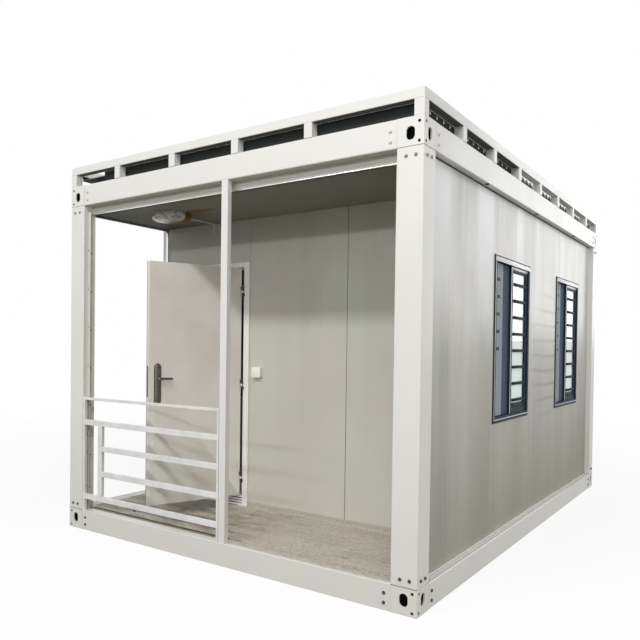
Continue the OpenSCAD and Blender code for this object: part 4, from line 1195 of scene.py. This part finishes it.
# Painted daylight: white triangles under the ribs.
daylight_spots = bmesh.new()
for across in (60.2, HOUSE_WIDTH - 60.2):
    for k in range(16):
        spot = at(across, FIRST_RIB + RIB_PITCH * k, 2818)
        bmesh.ops.create_cone(daylight_spots, cap_ends=True, segments=3, radius1=15 * MM,
                              radius2=15 * MM, depth=0.6 * MM,
                              matrix=Matrix.Translation(spot) @ AXES["x"])
finish_piece(daylight_spots, "rib_daylight_spots", white_trim_and_highlight)

# %% [markdown]
# Roofing screws with hexagon heads hold the sheet to each purlin, on every second rib.

# %% Roofing screws
roof_screws = bmesh.new()
for across in (449, 1160, 1870, 2581):
    for k in range(22):
        along = FIRST_RIB + 2 * RIB_PITCH * k
        boss(roof_screws, (across, along, 2835), "z", 7, 2, 10, top=0.9)
        boss(roof_screws, (across, along, 2838), "z", 4, 4, 6)
finish_piece(roof_screws, "roofing_screws", plating)

# %% [markdown]
# ## Stage
# The floor is plain and pale. A camera ray sees it white, and so do mirror and glass rays,
# with a soft shadow that fades out ten metres from the house. The light that it throws
# back on the house is weaker, as from a grey yard.

# %% Floor


def seen_directly(tree):
    """1 for rays from the camera, from a mirror and through glass, and 0 for the rest."""
    rays = add(tree, "LightPath").outputs
    eye = add(tree, "Math", {0: rays["Is Camera Ray"], 1: rays["Is Glossy Ray"]},
              operation="MAXIMUM")
    eye = add(tree, "Math", {0: eye, 1: rays["Is Transmission Ray"]}, operation="MAXIMUM")
    return eye


ground = bmesh.new()
bmesh.ops.create_grid(ground, x_segments=1, y_segments=1, size=40)
bmesh.ops.translate(ground, vec=(0, 0, -0.0005), verts=ground.verts)
sheet = bpy.data.meshes.new("studio_floor")
ground.to_mesh(sheet)
ground.free()
floor_finish, tree, shader, place = new_finish("pale studio floor", Roughness=0.9)
shader.inputs["Base Color"].default_value = linear("#7a7a76")
white = add(tree, "Emission", {"Color": (1, 1, 1, 1), "Strength": 1.0})
pale = add(tree, "BsdfDiffuse", {"Color": (0.95, 0.95, 0.95, 1)})
near = round_patch(tree, place, (0, 0, 0), (10, 10, 10))
share = add(tree, "Math", {0: near, 1: 0.2}, operation="MULTIPLY")
shown = add(tree, "MixShader", {0: share, 1: white, 2: pale})
both = add(tree, "MixShader", {0: seen_directly(tree), 1: shader, 2: shown})
join(tree, tree.nodes["Material Output"], Surface=both)
sheet.materials.append(floor_finish)
studio_floor = bpy.data.objects.new("studio_floor", sheet)
bpy.context.scene.collection.objects.link(studio_floor)
print("floor laid, 80 metres wide")

# %% [markdown]
# Two long lamps hang in front like the strip lights of a works hall, one high and one low,
# so that shadows stay crisp up and down and soft from side to side. A big soft panel
# stands behind on the right and shows in the gloss of the long wall, and a second one
# fills the right side. The room around gives the rest, and is white for the eye, for
# mirrors and for glass.

# %% Lights
world = bpy.data.worlds.new("studio")
world.use_nodes = True
tree = world.node_tree
tree.nodes.clear()
around = add(tree, "Background", {"Color": (0.97, 0.98, 1.0, 1), "Strength": 0.46})
backdrop = add(tree, "Background", {"Color": (1, 1, 1, 1), "Strength": 1.0})
sky = add(tree, "MixShader", {0: seen_directly(tree), 1: around, 2: backdrop})
add(tree, "OutputWorld", {"Surface": sky})
bpy.context.scene.world = world


def panel_lamp(name, power, size, place, aim):
    """A flat lamp of a size in metres, from a builder's place to the place it faces."""
    light = bpy.data.lights.new(name, "AREA")
    light.energy = power
    light.shape = "RECTANGLE"
    light.size, light.size_y = size
    stand = bpy.data.objects.new(name, light)
    stand.location = at(*place)
    stand.rotation_euler = (at(*aim) - at(*place)).to_track_quat("-Z", "Y").to_euler()
    stand.visible_camera = False
    bpy.context.scene.collection.objects.link(stand)


panel_lamp("high_strip", 640, (12.0, 0.65), (3800, -6200, 8520), (3800, 935, 1300))
panel_lamp("low_strip", 160, (9.0, 0.3), (3000, -8000, 4330), (3000, 935, 1500))
panel_lamp("right_back_panel", 125, (4.0, 4.6), (5100, 11000, 3900), (3200, 3000, 1900))
panel_lamp("right_fill", 80, (8.0, 3.0), (9000, 1500, 2400), (3030, 1500, 1100))
bpy.context.scene.view_settings.view_transform = "Standard"
print(len(bpy.data.lights), "lamps on")
